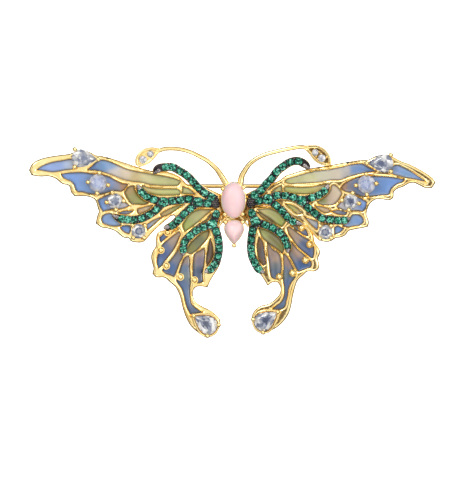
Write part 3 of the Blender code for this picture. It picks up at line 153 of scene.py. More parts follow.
# Outlines and routes are (x, z) points in the plane of each pair of wings.
LEFT = {
    "fore_edge": [
        (-33.95, 4.95), (-33.45, 5.95), (-32.2, 6.7), (-30.5, 7.15), (-28.8, 7.4), (-27.1, 7.65),
        (-26.1, 8.05), (-24.9, 8.2), (-23.75, 7.85), (-22.9, 7.4), (-21.9, 7.25), (-18.8, 6.4),
        (-16.25, 5.55), (-13.25, 4.75), (-10.9, 4.65), (-8.8, 3.75), (-7.6, 2.6), (-5.6, 2.35),
        (-3.75, 1.7), (-2.1, 0.9), (-2, 0.1), (-2.4, -0.45), (-3.25, -0.8), (-4.4, -0.95),
        (-5.9, -1.15), (-6.9, -1.55), (-7.9, -2.35), (-8.9, -3.1), (-9.35, -3), (-9.75, -2.5),
        (-10.25, -2.6), (-11, -3.15), (-12.25, -4.2), (-13.5, -5.4), (-14.3, -6.3), (-14.7, -6.75),
        (-15.3, -7), (-16.1, -7), (-17, -6.75), (-17.35, -6.3), (-18.05, -6.25), (-18.7, -5.85),
        (-19.45, -5.2), (-20.55, -4.75), (-22, -4.45), (-22.8, -3.85), (-22.5, -2.5),
        (-22.3, -1.95), (-22.5, -1.2), (-23, 0.1), (-24.35, 0.65), (-25.4, 0.7), (-26.4, 0.7),
        (-27, 1.45), (-27.1, 2.05), (-27.4, 2.45), (-28.35, 2.7), (-29.65, 3.65), (-30.5, 3.95),
        (-32.2, 3.95), (-33.55, 4.15),
    ],
    "fore_cells": {
        "tip": [
            (-32.75, 5), (-32, 5.55), (-30.8, 6.05), (-29.65, 6.35), (-28.35, 6.55), (-26.9, 6.75),
            (-26.25, 6.55), (-26.25, 5.35), (-27.1, 5.1), (-28.1, 5), (-29.1, 4.8), (-30.05, 4.7),
            (-31, 4.8), (-32, 4.95),
        ],
        "long": [
            (-24.25, 5.05), (-23.6, 5.55), (-22.1, 6.6), (-21.35, 6.55), (-19.65, 5.95),
            (-17.95, 5.2), (-16.25, 4.75), (-13.25, 4.25), (-11.1, 3.85), (-9.65, 3.5),
            (-8.75, 3.15), (-9.15, 2.45), (-10.5, 2.4), (-12.2, 2.45), (-13.9, 2.6), (-15.4, 2.95),
            (-16.6, 3.05), (-17.95, 3.35), (-20.5, 4.3), (-21.75, 4.7), (-23.05, 4.95),
        ],
        "moon": [
            (-28.65, 4.25), (-27.95, 4.4), (-26.65, 4.5), (-25.4, 4.55), (-24.1, 4.4),
            (-23.1, 4.25), (-21.75, 4.1), (-20.8, 3.85), (-19.65, 3.25), (-18.35, 2.7),
            (-17.6, 2.6), (-17.95, 2.05), (-18.55, 1.5), (-19.65, 1.55), (-20.8, 1.35),
            (-21.6, 1.15), (-22.4, 1), (-23.15, 1), (-23.85, 1.1), (-24.95, 1.35), (-26.05, 1.55),
            (-26.25, 1.85), (-26.55, 2.65), (-27.25, 3.25), (-28.2, 3.65),
        ],
        "round": [
            (-22.5, 0), (-21.45, 0.55), (-20.65, 0.85), (-19.6, 0.8), (-18.65, 0.3),
            (-17.95, -0.45), (-17.3, -0.95), (-18.35, -1.35), (-20.25, -1.5), (-20.95, -1.65),
            (-21.7, -1.85), (-22.2, -0.95),
        ],
        "lower": [
            (-21.9, -3.1), (-21.45, -2.45), (-20.35, -2.25), (-19.75, -2.9), (-19, -3.6),
            (-18.7, -4.15), (-19.75, -4.3), (-20.7, -4.15), (-21.75, -3.65),
        ],
        "second": [
            (-15.1, 2.4), (-13.9, 2), (-12.2, 1.85), (-10.1, 1.85), (-9.15, 1.75), (-8.75, 1.35),
            (-8.9, 0.85), (-10.5, 0.8), (-12.15, 0.8), (-13.4, 1), (-14.45, 1.4), (-15.05, 2),
        ],
        "triangle": [(-8.35, 2.2), (-8.45, 1.05), (-6.3, 1), (-7.05, 1.7)],
        "khaki": [
            (-18.1, 1.25), (-17.2, 2.25), (-16.5, 2.35), (-16.4, 1.8), (-15.9, 0.9), (-15.15, 0.15),
            (-14.1, -0.45), (-14.6, -0.65), (-15.75, -0.65), (-16.85, -0.6), (-17.2, -0.3),
            (-17.75, 0.45),
        ],
        "corner": [
            (-18.8, -4.6), (-18.25, -4.3), (-17.2, -4.3), (-17.05, -4.9), (-17.35, -5.55),
            (-18.1, -5.25),
        ],
        "sliver": [
            (-14.45, -4.1), (-13.4, -3.45), (-11.7, -2.75), (-12.6, -3.5), (-13.6, -4.4),
            (-14.25, -4.9),
        ],
        "pinkish": [
            (-15.9, -1.5), (-14.7, -1.15), (-13.4, -0.9), (-14.25, -1.8), (-15.55, -2.35),
            (-15.95, -2),
        ],
        "narrow": [(-19.15, -2.2), (-18.55, -1.95), (-16.6, -1.8), (-17.2, -2.2), (-17.95, -2.35)],
        "strip": [
            (-12.1, -2.3), (-10.9, -1.6), (-9.4, -1), (-8.35, -0.8), (-9.25, -1.45), (-10.75, -2.4),
            (-11.85, -2.8),
        ],
    },
    "hind_edge": [
        (-2.1, -2.4), (-2.4, -1.7), (-3.4, -1.3), (-4.75, -1.2), (-6.1, -1.45), (-7.25, -2.05),
        (-8.25, -3.05), (-9.25, -4.05), (-10.4, -4.9), (-11.4, -5.05), (-12.5, -5.55),
        (-12.75, -6.35), (-12.8, -7.75), (-13.3, -8.55), (-13.55, -9.4), (-13.35, -10.6),
        (-13.15, -11.4), (-13.35, -12.2), (-12.9, -12.7), (-11.25, -12.9), (-10.45, -13.6),
        (-9.5, -14.45), (-8.9, -15.6), (-8.2, -18.2), (-7.75, -19.45), (-7.05, -20.75), (-6, -21.8),
        (-5.05, -22.4), (-4.1, -22.6), (-3.15, -22.3), (-2.45, -21.55), (-2.1, -20.55),
        (-2.25, -19.8), (-2.85, -19.1), (-3.9, -18.3), (-5.3, -17.6), (-6.25, -16.9),
        (-6.7, -15.95), (-6.6, -14.9), (-6.1, -14.4), (-5.3, -14.3), (-4.25, -14.45), (-3.9, -13.6),
        (-3.3, -12.55), (-2.7, -11.65), (-2.1, -10.4), (-1.85, -8.7), (-1.85, -7.05), (-2.15, -5.4),
        (-2.25, -4.05),
    ],
    "hind_cells": {
        "green_one": [
            (-8, -5.2), (-8.35, -4.35), (-7.9, -3.35), (-7.05, -2.25), (-5.75, -1.65),
            (-4.15, -1.6), (-3.35, -1.55), (-4.35, -2.3), (-5.2, -3.1), (-6.2, -3.95),
            (-7.15, -4.65),
        ],
        "green_two": [
            (-7.8, -8.6), (-7.2, -7.35), (-6.2, -6.35), (-5, -5.4), (-4, -5.05), (-4.15, -6.05),
            (-5.35, -7.6), (-6.2, -8.45), (-7.05, -8.9),
        ],
        "upper": [
            (-11.75, -7.5), (-10.9, -6.7), (-9.9, -5.9), (-9, -5.25), (-8.75, -5.7), (-9.15, -6.7),
            (-9.75, -7.9), (-10.35, -8.8), (-11.25, -9.95), (-12.25, -11.2), (-12.45, -11.3),
            (-12.65, -10.4), (-12.5, -9.15), (-12.1, -8.3),
        ],
        "middle": [
            (-8.65, -7.2), (-9.1, -8.15), (-9.9, -9.4), (-10.85, -10.55), (-11.8, -11.65),
            (-11.25, -12.1), (-10.4, -12.4), (-9.8, -12.7), (-9.4, -11.7), (-8.9, -10.4),
            (-8.4, -9.45), (-8.25, -8.7), (-8.4, -7.9),
        ],
        "neck": [
            (-7.75, -9.4), (-7.4, -9.3), (-7.2, -10.25), (-7.25, -11.4), (-7.15, -12.55),
            (-7.1, -13.75), (-7.2, -14.9), (-7.15, -16.05), (-6.95, -17.25), (-6.25, -17.95),
            (-5.05, -18.65), (-6.1, -18.8), (-6.95, -19.1), (-7.4, -18.4), (-7.85, -17.25),
            (-8.1, -16.05), (-8.45, -14.9), (-9.05, -13.95), (-9.4, -13.4), (-8.9, -11.85),
            (-8.55, -10.75),
        ],
        "inner": [
            (-6.35, -8.95), (-5.5, -8.45), (-4.8, -8), (-4.7, -9.05), (-4.8, -10.25),
            (-4.9, -11.15), (-5.05, -11.85), (-5.1, -12.55), (-5, -13.55), (-5.65, -13.75),
            (-6.25, -13.6), (-6.6, -13.05), (-6.65, -12), (-6.6, -10.25),
        ],
        "sliver": [
            (-3.8, -6.4), (-3.5, -7.2), (-3.3, -8.45), (-3.35, -9.4), (-3.75, -10.25),
            (-4.3, -10.95), (-4.45, -10), (-4.2, -8.4), (-4, -7.15),
        ],
        "small": [
            (-12.15, -6.8), (-12.2, -6.2), (-11.65, -5.7), (-10.4, -5.45), (-9.4, -4.7),
            (-10.1, -5.35), (-11.1, -6.2), (-11.9, -6.95),
        ],
        "fold": [
            (-6.5, -4.55), (-5.75, -4), (-4.7, -3.35), (-3.95, -2.6), (-3.65, -2.3), (-3.8, -2.85),
            (-4.5, -3.55), (-5.45, -4.1), (-6.15, -4.6),
        ],
    },
    "rails": {
        "lead": [
            (-2.85, 0.05), (-3.65, 0.5), (-4.85, 1.2), (-5.95, 2.15), (-6.8, 3.15), (-7.8, 4.1),
            (-8.9, 4.8), (-10.2, 5.45), (-11.35, 5.45), (-12.55, 5.2), (-13.25, 4.5),
        ],
        "upper": [
            (-2.75, -0.55), (-4.35, -0.55), (-5.9, -0.35), (-7.55, 0.15), (-8.85, -0.05),
            (-10.2, -0.15), (-11.7, -0.35), (-13.35, 0.1), (-14.5, 0.55), (-15.35, 1.3),
            (-15.95, 2.35),
        ],
        "lower": [
            (-11.7, -0.35), (-12.9, -1.65), (-14.05, -2.45), (-15.3, -3.05), (-16.75, -3.3),
            (-17.6, -3.25), (-18.65, -3.15), (-20.05, -2.6),
        ],
        "fold": [
            (-5.9, -0.35), (-7.15, -1.4), (-8.25, -2.35), (-9.25, -3.4), (-10.2, -4.25),
            (-11.5, -4.65),
        ],
        "vein": [
            (-2.85, -2.3), (-3.6, -4), (-5, -4.5), (-6.2, -5.1), (-7.25, -5.95), (-8.15, -7),
            (-8.4, -8.3), (-8.4, -9.05),
        ],
        "drop": [
            (-3.6, -4), (-2.85, -5.3), (-2.5, -6.65), (-2.4, -8.05), (-2.6, -9.45), (-3.2, -10.75),
            (-3.85, -11.55), (-4.65, -11.95),
        ],
    },
    "patch": [
        (-3.2, 0.7), (-2.6, 0.4), (-2.3, -0.4), (-2.35, -1.2), (-2.8, -1.5), (-3.3, -1.3),
        (-3.65, -0.4),
    ],
    "beads": [(-10.95, -5.4), (-12.05, -8.35), (-11.15, -10.95), (-8.8, -12.8), (-6.45, -13.3)],
    "wire": [
        (-1.35, 2.95), (-2.1, 4.2), (-2.7, 5.05), (-3.5, 5.85), (-4.35, 6.55), (-5.5, 7.2),
        (-7.2, 8), (-9.5, 8.5), (-11.8, 8.4), (-12.9, 8),
    ],
    "leaf": [
        (-12, 8.4), (-13.7, 8.65), (-14.95, 8.35), (-15.8, 7.65), (-16.25, 6.8), (-16.25, 5.95),
        (-15.65, 5.55), (-14.55, 5.95), (-13.5, 6.7), (-12.85, 7.5),
    ],
    "leafstones": [(-15.1, 6.7), (-13.85, 7.65)],
}

RIGHT = {
    "fore_edge": [
        (33.55, 2.9), (33.15, 3.55), (32.15, 4.35), (30.85, 5.1), (29.15, 5.95), (27.9, 6.4),
        (26.85, 6.95), (25.9, 7.35), (24.75, 7.5), (23.6, 7.2), (22.45, 6.65), (21.3, 6.6),
        (17.9, 6.05), (15.35, 5.6), (12.8, 5.2), (9.75, 4.35), (8.5, 3.9), (7.75, 3.3), (5.9, 2.55),
        (4.1, 1.95), (2, 0.95), (1.95, 0.1), (2.35, -0.4), (3.1, -0.6), (4.25, -0.8), (5.75, -0.87),
        (6.85, -1.15), (7.9, -1.8), (8.8, -2.6), (9.6, -3.35), (10.5, -3.75), (11.4, -3.85),
        (12.05, -4.15), (12.95, -5.25), (13.9, -6.4), (14.6, -6.75), (15.4, -6.9), (16.3, -6.7),
        (16.9, -6.3), (17.8, -6.15), (18.5, -5.8), (19.1, -5.1), (20, -4.85), (21.35, -4.6),
        (22.25, -4.4), (22.4, -3.85), (22.25, -3.05), (22, -2.35), (22.1, -1.8), (22.7, -0.5),
        (23.65, 0.15), (24.9, 0.15), (26, 0.05), (26.45, 0.35), (26.6, 1.35), (27.05, 1.8),
        (28.3, 2.3), (29.15, 2.8), (30, 2.9), (30.85, 2.55), (31.95, 2.05), (33, 2.05),
    ],
    "fore_cells": {
        "tip": [
            (26.2, 5.5), (27.15, 5.8), (28.3, 5.35), (29.6, 4.7), (30.85, 3.85), (32.15, 3),
            (30, 3.55), (28.75, 3.75), (27.45, 4.1), (26.3, 4.4),
        ],
        "long": [
            (23.75, 4.8), (22.4, 5.45), (21.25, 6), (19.75, 5.85), (18, 5.45), (16.25, 5.1),
            (12.75, 4.6), (11.1, 4.1), (9.6, 3.65), (8.65, 3.3), (8.45, 2.95), (9.25, 2.75),
            (10.4, 2.8), (12.75, 2.9), (14.4, 3.05), (16.1, 3.35), (17.75, 3.4), (19.4, 4),
            (21.4, 4.5),
        ],
        "moon": [
            (23.65, 3.9), (25.35, 3.85), (26.6, 3.7), (28.4, 3.4), (28.15, 3.05), (27.45, 2.8),
            (26.85, 2.45), (26.2, 1.85), (25.85, 0.95), (24.9, 0.9), (23.65, 0.75), (21.6, 0.65),
            (20.4, 0.9), (19.25, 1.3), (18.25, 1.6), (17.9, 2.1), (18.35, 2.6), (19.4, 3.2),
            (20.75, 3.7), (22.1, 3.9),
        ],
        "round": [
            (17.2, -1.1), (17.9, -0.3), (18.6, 0.3), (19.6, 0.7), (20.85, 0.35), (22.1, -0.35),
            (21.95, -1.2), (21.5, -1.85), (20.4, -1.7), (19.25, -1.7), (18.25, -1.6),
        ],
        "lower": [
            (19.8, -2.45), (20.75, -2.5), (21.45, -3.05), (21.55, -3.55), (21.2, -4), (20, -4.3),
            (18.9, -4.45), (18.15, -4.25), (18.75, -3.65), (19.4, -2.95),
        ],
        "second": [
            (8.6, 2.2), (10.4, 2.1), (12.75, 2.15), (14.6, 2.45), (15.6, 2.7), (15.1, 2.05),
            (14.1, 1.35), (12.75, 1.05), (10.75, 1.05), (9.1, 1.1), (8.5, 1.45), (8.35, 1.85),
        ],
        "triangle": [(7.9, 2.4), (8, 1.2), (6.15, 1.25), (6.9, 1.85)],
        "khaki": [
            (18, 1.1), (17.35, 2.05), (16.65, 2.55), (16.3, 2.35), (16.15, 1.8), (15.65, 0.95),
            (14.85, 0.25), (13.85, -0.3), (14.25, -0.65), (15.4, -0.75), (16.6, -0.7),
            (17.25, -0.2),
        ],
        "corner": [(16.75, -4.6), (17.25, -4.3), (18.25, -4.75), (17.8, -5.25), (16.8, -5.65)],
        "sliver": [
            (11.7, -2.8), (12.95, -3.25), (13.9, -3.55), (14.05, -4.15), (13.85, -4.9),
            (12.95, -4.15),
        ],
        "pinkish": [
            (15.9, -1.5), (14.7, -1.15), (13.4, -0.9), (14, -1.45), (15.25, -2.15), (15.95, -2),
        ],
        "narrow": [(16.25, -1.9), (17.4, -1.7), (18.8, -2.1), (18.6, -2.45), (17.4, -2.35)],
        "strip": [
            (11.5, -2.15), (10.6, -1.4), (9.4, -0.75), (8.55, -0.65), (9.4, -1.4), (10.6, -2.3),
        ],
    },
    "hind_edge": [
        (2.5, -1.9), (3.25, -1.3), (4.4, -1.05), (5.75, -1.05), (7.1, -1.45), (8.25, -2.3),
        (9.25, -3.3), (10.4, -4.1), (12.15, -4.35), (13.05, -5.7), (13.4, -7.05), (14, -7.9),
        (14.25, -8.8), (13.9, -9.75), (14.15, -10.7), (14, -11.4), (13.55, -11.75), (12.15, -11.85),
        (11.45, -12.45), (10.5, -13.4), (10.05, -14.65), (9.7, -16.05), (9.45, -17.5), (9, -18.9),
        (8.15, -20.15), (7.1, -21.1), (6.2, -21.6), (5.1, -21.9), (4.05, -21.55), (3.25, -20.55),
        (2.95, -19.6), (3.35, -18.55), (4.4, -17.7), (5.95, -17.25), (7, -16.4), (7.7, -15.5),
        (7.75, -14.4), (7.3, -13.65), (6.4, -13.6), (5.6, -14.15), (4.75, -12.8), (4.3, -12.2),
        (3.25, -11.2), (2.5, -9.7), (2.25, -8.05), (2.35, -6.4), (2.5, -4.7), (2.35, -3.4),
    ],
    "hind_cells": {
        "green_one": [
            (3.85, -1.55), (4.5, -1.5), (5.7, -1.45), (6.9, -1.8), (7.8, -2.45), (8.6, -3.55),
            (8, -4.4), (7.2, -4), (5.95, -3), (4.75, -2.3),
        ],
        "green_two": [
            (4.15, -4.7), (5.2, -4.95), (6.9, -5.85), (7.9, -6.9), (8.3, -8), (8.05, -8.8),
            (7.2, -8.15), (5.5, -6.9), (4.65, -6.05),
        ],
        "upper": [
            (8.85, -4.65), (9.2, -4.45), (10.05, -5.05), (10.95, -5.75), (11.85, -6.35),
            (12.75, -6.9), (13.25, -7.8), (13.3, -8.7), (13.15, -9.55), (12.9, -9.6),
            (11.85, -8.75), (10.65, -7.7), (9.75, -6.5), (9.15, -5.6),
        ],
        "middle": [
            (9.45, -6.9), (10.35, -7.95), (11.55, -9), (12.45, -9.85), (12.9, -10.45),
            (12.8, -11.15), (11.85, -11.45), (10.75, -11.85), (10.35, -11.25), (9.75, -10.05),
            (9.2, -9.1), (9.35, -8.05),
        ],
        "neck": [
            (8.25, -8.95), (8.65, -9.2), (9.15, -9.95), (9.75, -11.15), (10.25, -12.05),
            (10.2, -12.7), (9.6, -13.6), (9.15, -14.5), (8.95, -15.7), (8.7, -16.7), (8.4, -17.75),
            (7.8, -18.15), (6.4, -18.15), (7.05, -17.6), (7.95, -16.85), (8.4, -15.8),
            (8.4, -14.65), (8.25, -13.45), (8.2, -12.55), (8.3, -11.35), (8.25, -10.15),
        ],
        "inner": [
            (5.55, -7.05), (5.9, -7.5), (6.65, -8.4), (7.2, -8.65), (7.6, -9.2), (7.8, -10.15),
            (7.9, -11.05), (7.8, -11.95), (7.65, -12.95), (6.9, -13.1), (6.25, -12.85),
            (6.05, -11.95), (5.9, -10.45), (5.65, -9),
        ],
        "sliver": [
            (4.15, -6.15), (4.7, -6.9), (5, -8.4), (5.2, -9.85), (5.3, -10.55), (4.85, -10.85),
            (4.3, -10.25), (3.95, -9), (3.85, -7.5),
        ],
        "small": [
            (9.5, -4.1), (10.95, -4.5), (11.7, -4.75), (12.2, -5.4), (12.3, -5.95), (11.85, -5.85),
            (10.95, -5.3), (10.1, -4.7),
        ],
        "fold": [
            (3.65, -1.9), (4.15, -2.05), (5.25, -2.75), (6.4, -3.65), (6.9, -4.2), (6.15, -3.9),
            (5, -3.1), (4.1, -2.35),
        ],
    },
    "rails": {
        "lead": [
            (2.65, 0.2), (3.5, 0.85), (4.6, 1.6), (5.45, 2.65), (6.3, 3.5), (7.2, 4.7),
            (8.25, 5.55), (9.5, 6.3), (10.9, 6.45), (11.9, 5.95), (12.6, 5.25),
        ],
        "upper": [
            (2.75, -0.45), (4.25, -0.15), (5.7, 0.15), (7.25, 0.75), (8.6, 0.7), (9.95, 0.45),
            (11.4, -0.1), (13.1, 0.4), (14.3, 0.85), (15.2, 1.5), (15.8, 2.4),
        ],
        "lower": [
            (11.4, -0.1), (12.5, -1.35), (13.55, -2.2), (14.75, -3.05), (16.15, -3.25),
            (17.5, -3.4), (18.6, -3.35), (19.35, -3.05),
        ],
        "fold": [
            (5.7, 0.15), (7.15, -0.95), (8.1, -1.8), (8.95, -2.8), (9.95, -3.6), (11.3, -3.95),
        ],
        "vein": [
            (3.05, -2.1), (3.65, -3.55), (5.35, -4.15), (6.55, -4.7), (7.75, -5.45), (8.6, -6.65),
            (9, -7.65), (9.1, -8.6),
        ],
        "drop": [
            (3.65, -3.55), (3.15, -5.2), (2.95, -6.65), (2.9, -8), (3.05, -9.25), (3.55, -10.45),
            (4.2, -11.5), (5, -12),
        ],
    },
    "patch": [
        (3.1, 0.8), (2.5, 0.45), (2.2, -0.4), (2.25, -1.15), (2.7, -1.35), (3.2, -1.2), (3.6, -0.2),
    ],
    "beads": [(11.3, -4.6), (12.65, -7.4), (11.95, -10), (9.8, -12.15), (7.6, -12.75)],
    "wire": [
        (1.15, 2.95), (1.35, 3.95), (1.9, 4.95), (2.5, 5.8), (3.4, 6.6), (5, 7.45), (7.3, 8.1),
        (9.5, 8.55), (11.4, 8.8), (12.6, 8.55),
    ],
    "leaf": [
        (11.5, 8.9), (12.8, 9), (14.05, 8.95), (15.1, 8.4), (15.85, 7.55), (16.2, 6.55),
        (16.1, 5.8), (15.15, 5.8), (14.3, 6.1), (13.45, 6.7), (12.8, 7.55),
    ],
    "leafstones": [(14.75, 6.95), (13.65, 7.9)],
}

# The large stones: kind, centre, heading in degrees, directions of the prongs in degrees.
LEFT_SETTINGS = {
    "fore_pear": ("pear", (-24.95, 6.9), -4, (136, 221, -4)),
    "moonstone": ("cabochon", (-22.65, 2.8), 0, (83, 175, 265, -11)),
    "round": ("round", (-19.8, -0.15), 0, (109, 190, 275, 0)),
    "small": ("small", (-15.85, -5.2), 0, (137, 43, 229, 310)),
    "tail_pear": ("pear", (-4.75, -20.5), 147, (147, -6, 280)),
}
RIGHT_SETTINGS = {
    "fore_pear": ("pear", (24.6, 6.1), 180, (39, -38, 180)),
    "moonstone": ("cabochon", (22.2, 2.6), 0, (90, 186, 274, 4)),
    "round": ("round", (19.6, -0.25), 0, (76, 172, 258, -13)),
    "small": ("small", (15.4, -5.35), 0, (131, 47, 229, 315)),
    "tail_pear": ("pear", (5.5, -19.9), 34, (34, 178, 256)),
}

# The rails of each wing, and the points of their routes that carry a larger stone.
FORE_RAILS = ("lead", "upper", "lower", "fold")
HIND_RAILS = ("vein", "drop")
BIG_STONES = {"upper": (2, 6), "vein": (1,)}

# The right half of the body's back plate.
THORAX_HALF = [
    (0, 2.9), (1.2, 2.5), (1.8, 1.5), (2.3, 0.85), (4.4, 0.95), (4.9, 0), (4.6, -2),
    (3.5, -3.5), (2.3, -3.5), (1.5, -4.1), (1.4, -5.2), (0.8, -6.5), (0.1, -7.1),
]

# The first stone of each rail and how many points its plain tail takes.
RAIL_STONES = {"lead": (1, 2), "upper": (1, 1), "lower": (1, 1), "fold": (1, 1),
               "vein": (0, 1), "drop": (1, 1)}
RAIL_SEEDS = {"left": 100, "right": 500}

# Enamel colours: (distance from the middle, z, red, green, blue) spots that blend in a cell.
FORE_SPOTS = {
    "moon": [(28, 3.9, 104, 140, 202), (24.5, 1.8, 110, 146, 202), (20.6, 2.4, 110, 136, 184),
             (19.2, 2.2, 124, 130, 150), (18.5, 2.3, 158, 116, 70)],
    "round": [(22, -0.8, 106, 144, 208), (19.6, -1.2, 158, 178, 218), (18, -1, 196, 194, 204)],
    "lower": [(21.4, -3.6, 112, 144, 194), (19.4, -3.8, 128, 160, 204)],
    "second": [(14.6, 2.1, 196, 184, 120), (12, 1.4, 182, 182, 110), (9, 1.3, 174, 178, 106)],
    "triangle": [(8.1, 1.8, 174, 176, 114), (6.6, 1.3, 188, 186, 128)],
    "corner": [(18.3, -4.8, 96, 144, 216), (17, -4.7, 120, 160, 224)],
    "sliver": [(14.2, -4.5, 130, 160, 214), (13.2, -3.7, 170, 172, 170), (12, -3, 206, 188, 176)],
    "pinkish": [(15.6, -1.9, 196, 166, 124), (13.8, -1.2, 206, 190, 150)],
    "narrow": [(18.8, -2.2, 118, 140, 184), (16.8, -2, 150, 150, 160)],
    "strip": [(11.5, -2.3, 184, 158, 92), (9, -1, 174, 178, 88)],
}
HIND_SPOTS = {
    "green_one": [(4.2, -1.8, 190, 176, 112), (6.2, -2.8, 172, 172, 112), (8, -4.2, 162, 176, 88)],
    "upper": [(9.4, -5.5, 162, 138, 106), (10.2, -6.6, 154, 136, 120), (11.5, -7.6, 84, 100, 132),
              (11.5, -9, 56, 82, 138), (12.6, -10.6, 70, 106, 154)],
    "middle": [(8.8, -8, 152, 134, 104), (9.3, -9.5, 106, 108, 120), (10.5, -8.5, 158, 132, 112),
               (10.4, -11.2, 50, 88, 138), (11.6, -11.6, 64, 98, 148)],
    "neck": [(7.7, -9.8, 140, 124, 110), (8.1, -11.4, 80, 102, 130), (9, -10.4, 140, 114, 106),
             (8.1, -12.6, 98, 116, 118), (8.6, -13.8, 72, 96, 136), (7.8, -16, 84, 110, 146),
             (6.6, -18.2, 78, 96, 128)],
    "inner": [(5.6, -8.7, 150, 126, 106), (5.6, -10, 108, 98, 118), (5.6, -11.8, 44, 66, 98),
              (6.8, -9.8, 154, 132, 116), (6.8, -10.9, 100, 108, 112), (6.8, -12.2, 82, 102, 130)],
    "sliver": [(4, -7, 112, 80, 46), (4, -8.7, 90, 66, 44), (4.8, -8.9, 84, 84, 90),
               (4.1, -10.4, 114, 84, 54)],
    "small": [(11.9, -6.3, 58, 88, 144), (10.6, -5.4, 130, 140, 150), (9.6, -4.9, 160, 160, 146)],
    "fold": [(4.2, -2.6, 166, 148, 78), (6, -4.2, 156, 138, 78)],
}
SIDE_SPOTS = {
    "left": {
        "tip": [(32.5, 5, 122, 150, 206), (29.5, 5.6, 130, 154, 204), (26.8, 5.9, 172, 188, 216)],
        "long": [(24, 5.2, 74, 120, 188), (21.8, 5.4, 104, 145, 196), (20.4, 5.8, 120, 150, 188),
                 (19.9, 4.4, 196, 188, 180), (18, 4.5, 198, 182, 158), (16.2, 3.6, 188, 168, 116),
                 (14.6, 3.5, 188, 180, 132), (12.5, 3.4, 180, 180, 120), (9.5, 2.9, 172, 172, 110)],
        "khaki": [(17.4, 1.6, 154, 128, 76), (17, 0.3, 146, 142, 82), (15.4, -0.4, 148, 152, 72)],
        "green_two": [(4.5, -5.5, 158, 148, 76), (5.4, -6.8, 106, 112, 70), (7.6, -8.5, 128, 126, 52)],
    },
    "right": {
        "tip": [(31, 3.6, 126, 154, 204), (28.8, 4.3, 114, 148, 190), (27, 5.2, 128, 152, 198)],
        "long": [(23.6, 5, 82, 124, 190), (21.2, 5.2, 112, 144, 196), (20, 5, 114, 144, 188),
                 (18.8, 4.8, 178, 174, 170), (17, 4.3, 198, 188, 170), (15, 3.9, 196, 193, 170),
                 (12.6, 3.7, 194, 192, 150), (10.6, 3.4, 188, 186, 138), (9.2, 3, 176, 178, 114)],
        "khaki": [(17.2, 1.4, 196, 180, 156), (16.4, 0.2, 200, 182, 162), (14.6, -0.4, 150, 154, 104)],
        "green_two": [(4.6, -5.2, 164, 170, 102), (6.8, -6.8, 134, 130, 86), (8, -8.2, 128, 128, 50)],
    },
}
PADS = ("small", "tail_pear")       # stones with gold showing round them
# Cells that the part leaves open, and the cells counted as green.
EXTRA_CELLS = ("corner", "sliver", "pinkish", "narrow", "strip", "small", "fold")
GREEN_CELLS = ("second", "triangle", "khaki", "green_one", "green_two", "strip", "fold", "pinkish")

# Painted reflections on the large stones' facets, as spans of shade: the table's span, the
# crown's span, and a spread that is two-sided below 1 and even above it.
STONE_REFLECTION_SHADES = {
    "fore_pear": ((0.2, 0.75), (0.2, 1.0), 0.75),
    "moonstone": ((0.2, 0.75), (0.35, 1.0), 1.2),
    "round": ((0.1, 0.5), (0.3, 1.0), 0.8),
    "small": ((0.0, 0.45), (0.3, 1.0), 0.7),
    "tail_pear": ((0.05, 0.6), (0.2, 1.0), 0.7),
}


# ---------------------------------------------------------------- outlines

def turn_at(points, index):
    """How far the outline turns at one of its points, in degrees."""
    before = Vector(points[index]) - Vector(points[index - 1])
    after = Vector(points[(index + 1) % len(points)]) - Vector(points[index])
    return abs(before.angle_signed(after, 0.0)) * 180 / pi


def tangent(points, index, closed, corners):
    """Unit-speed direction of the curve at a point; a corner has none of its own."""
    count = len(points)
    if index in corners or (not closed and index in (0, count - 1)):
        return None
    a, b, c = (Vector(points[(index + k) % count]) for k in (-1, 0, 1))
    first, second = (b - a).length, (c - b).length
    return ((b - a) / first * second + (c - b) / second * first) / (first + second)


def smooth(points, closed=True, steps=5):
    """A smooth curve through the points, which keeps the corners."""
    count = len(points)
    corners = {i for i in range(count) if closed and turn_at(points, i) > CORNER}
    curve = []
    for i in range(count if closed else count - 1):
        start, end = Vector(points[i]), Vector(points[(i + 1) % count])
        reach = (end - start).length
        leave = tangent(points, i, closed, corners) or (end - start) / reach
        arrive = tangent(points, (i + 1) % count, closed, corners) or (end - start) / reach
        for step in range(steps):
            t = step / steps
            curve.append((2 * t**3 - 3 * t**2 + 1) * start + (t**3 - 2 * t**2 + t) * reach * leave
                         + (3 * t**2 - 2 * t**3) * end + (t**3 - t**2) * reach * arrive)
    if not closed:
        curve.append(Vector(points[-1]))
    return curve


def area(loop):
    return sum(p.cross(q) for p, q in zip(loop, loop[1:] + loop[:1])) / 2


def grow(loop, distance):
    """The loop moved outwards by a distance, or inwards if it is negative."""
    sign = 1 if area(loop) > 0 else -1
    grown = []
    for i, point in enumerate(loop):
        before = (point - loop[i - 1]).normalized()
        after = (loop[(i + 1) % len(loop)] - point).normalized()
        normal = Vector((before.y + after.y, -before.x - after.x)).normalized() * sign
        square = Vector((after.y, -after.x)) * sign
        grown.append(point + normal * distance / max(normal.dot(square), 0.45))
    return grown


def circle(centre, radius, sides=24, squash=1.0):
    angles = [2 * pi * (k + 0.5) / sides for k in range(sides)]
    return [Vector((centre[0] + radius * cos(a), centre[1] + radius * squash * sin(a)))
            for a in angles]


def pear(centre, length, width, heading, sides=24):
    """A drop outline; heading is the direction of its point in degrees."""
    peak = 4 / (3 * sqrt(3))        # the greatest value of sin(t) * sin(t / 2)
    turn = radians(heading)
    loop = []
    for k in range(sides):
        t = 2 * pi * k / sides
        along, across = length / 2 * cos(t), width / 2 / peak * sin(t) * sin(t / 2)
        loop.append(Vector((centre[0] + along * cos(turn) - across * sin(turn),
                            centre[1] + along * sin(turn) + across * cos(turn))))
    return loop


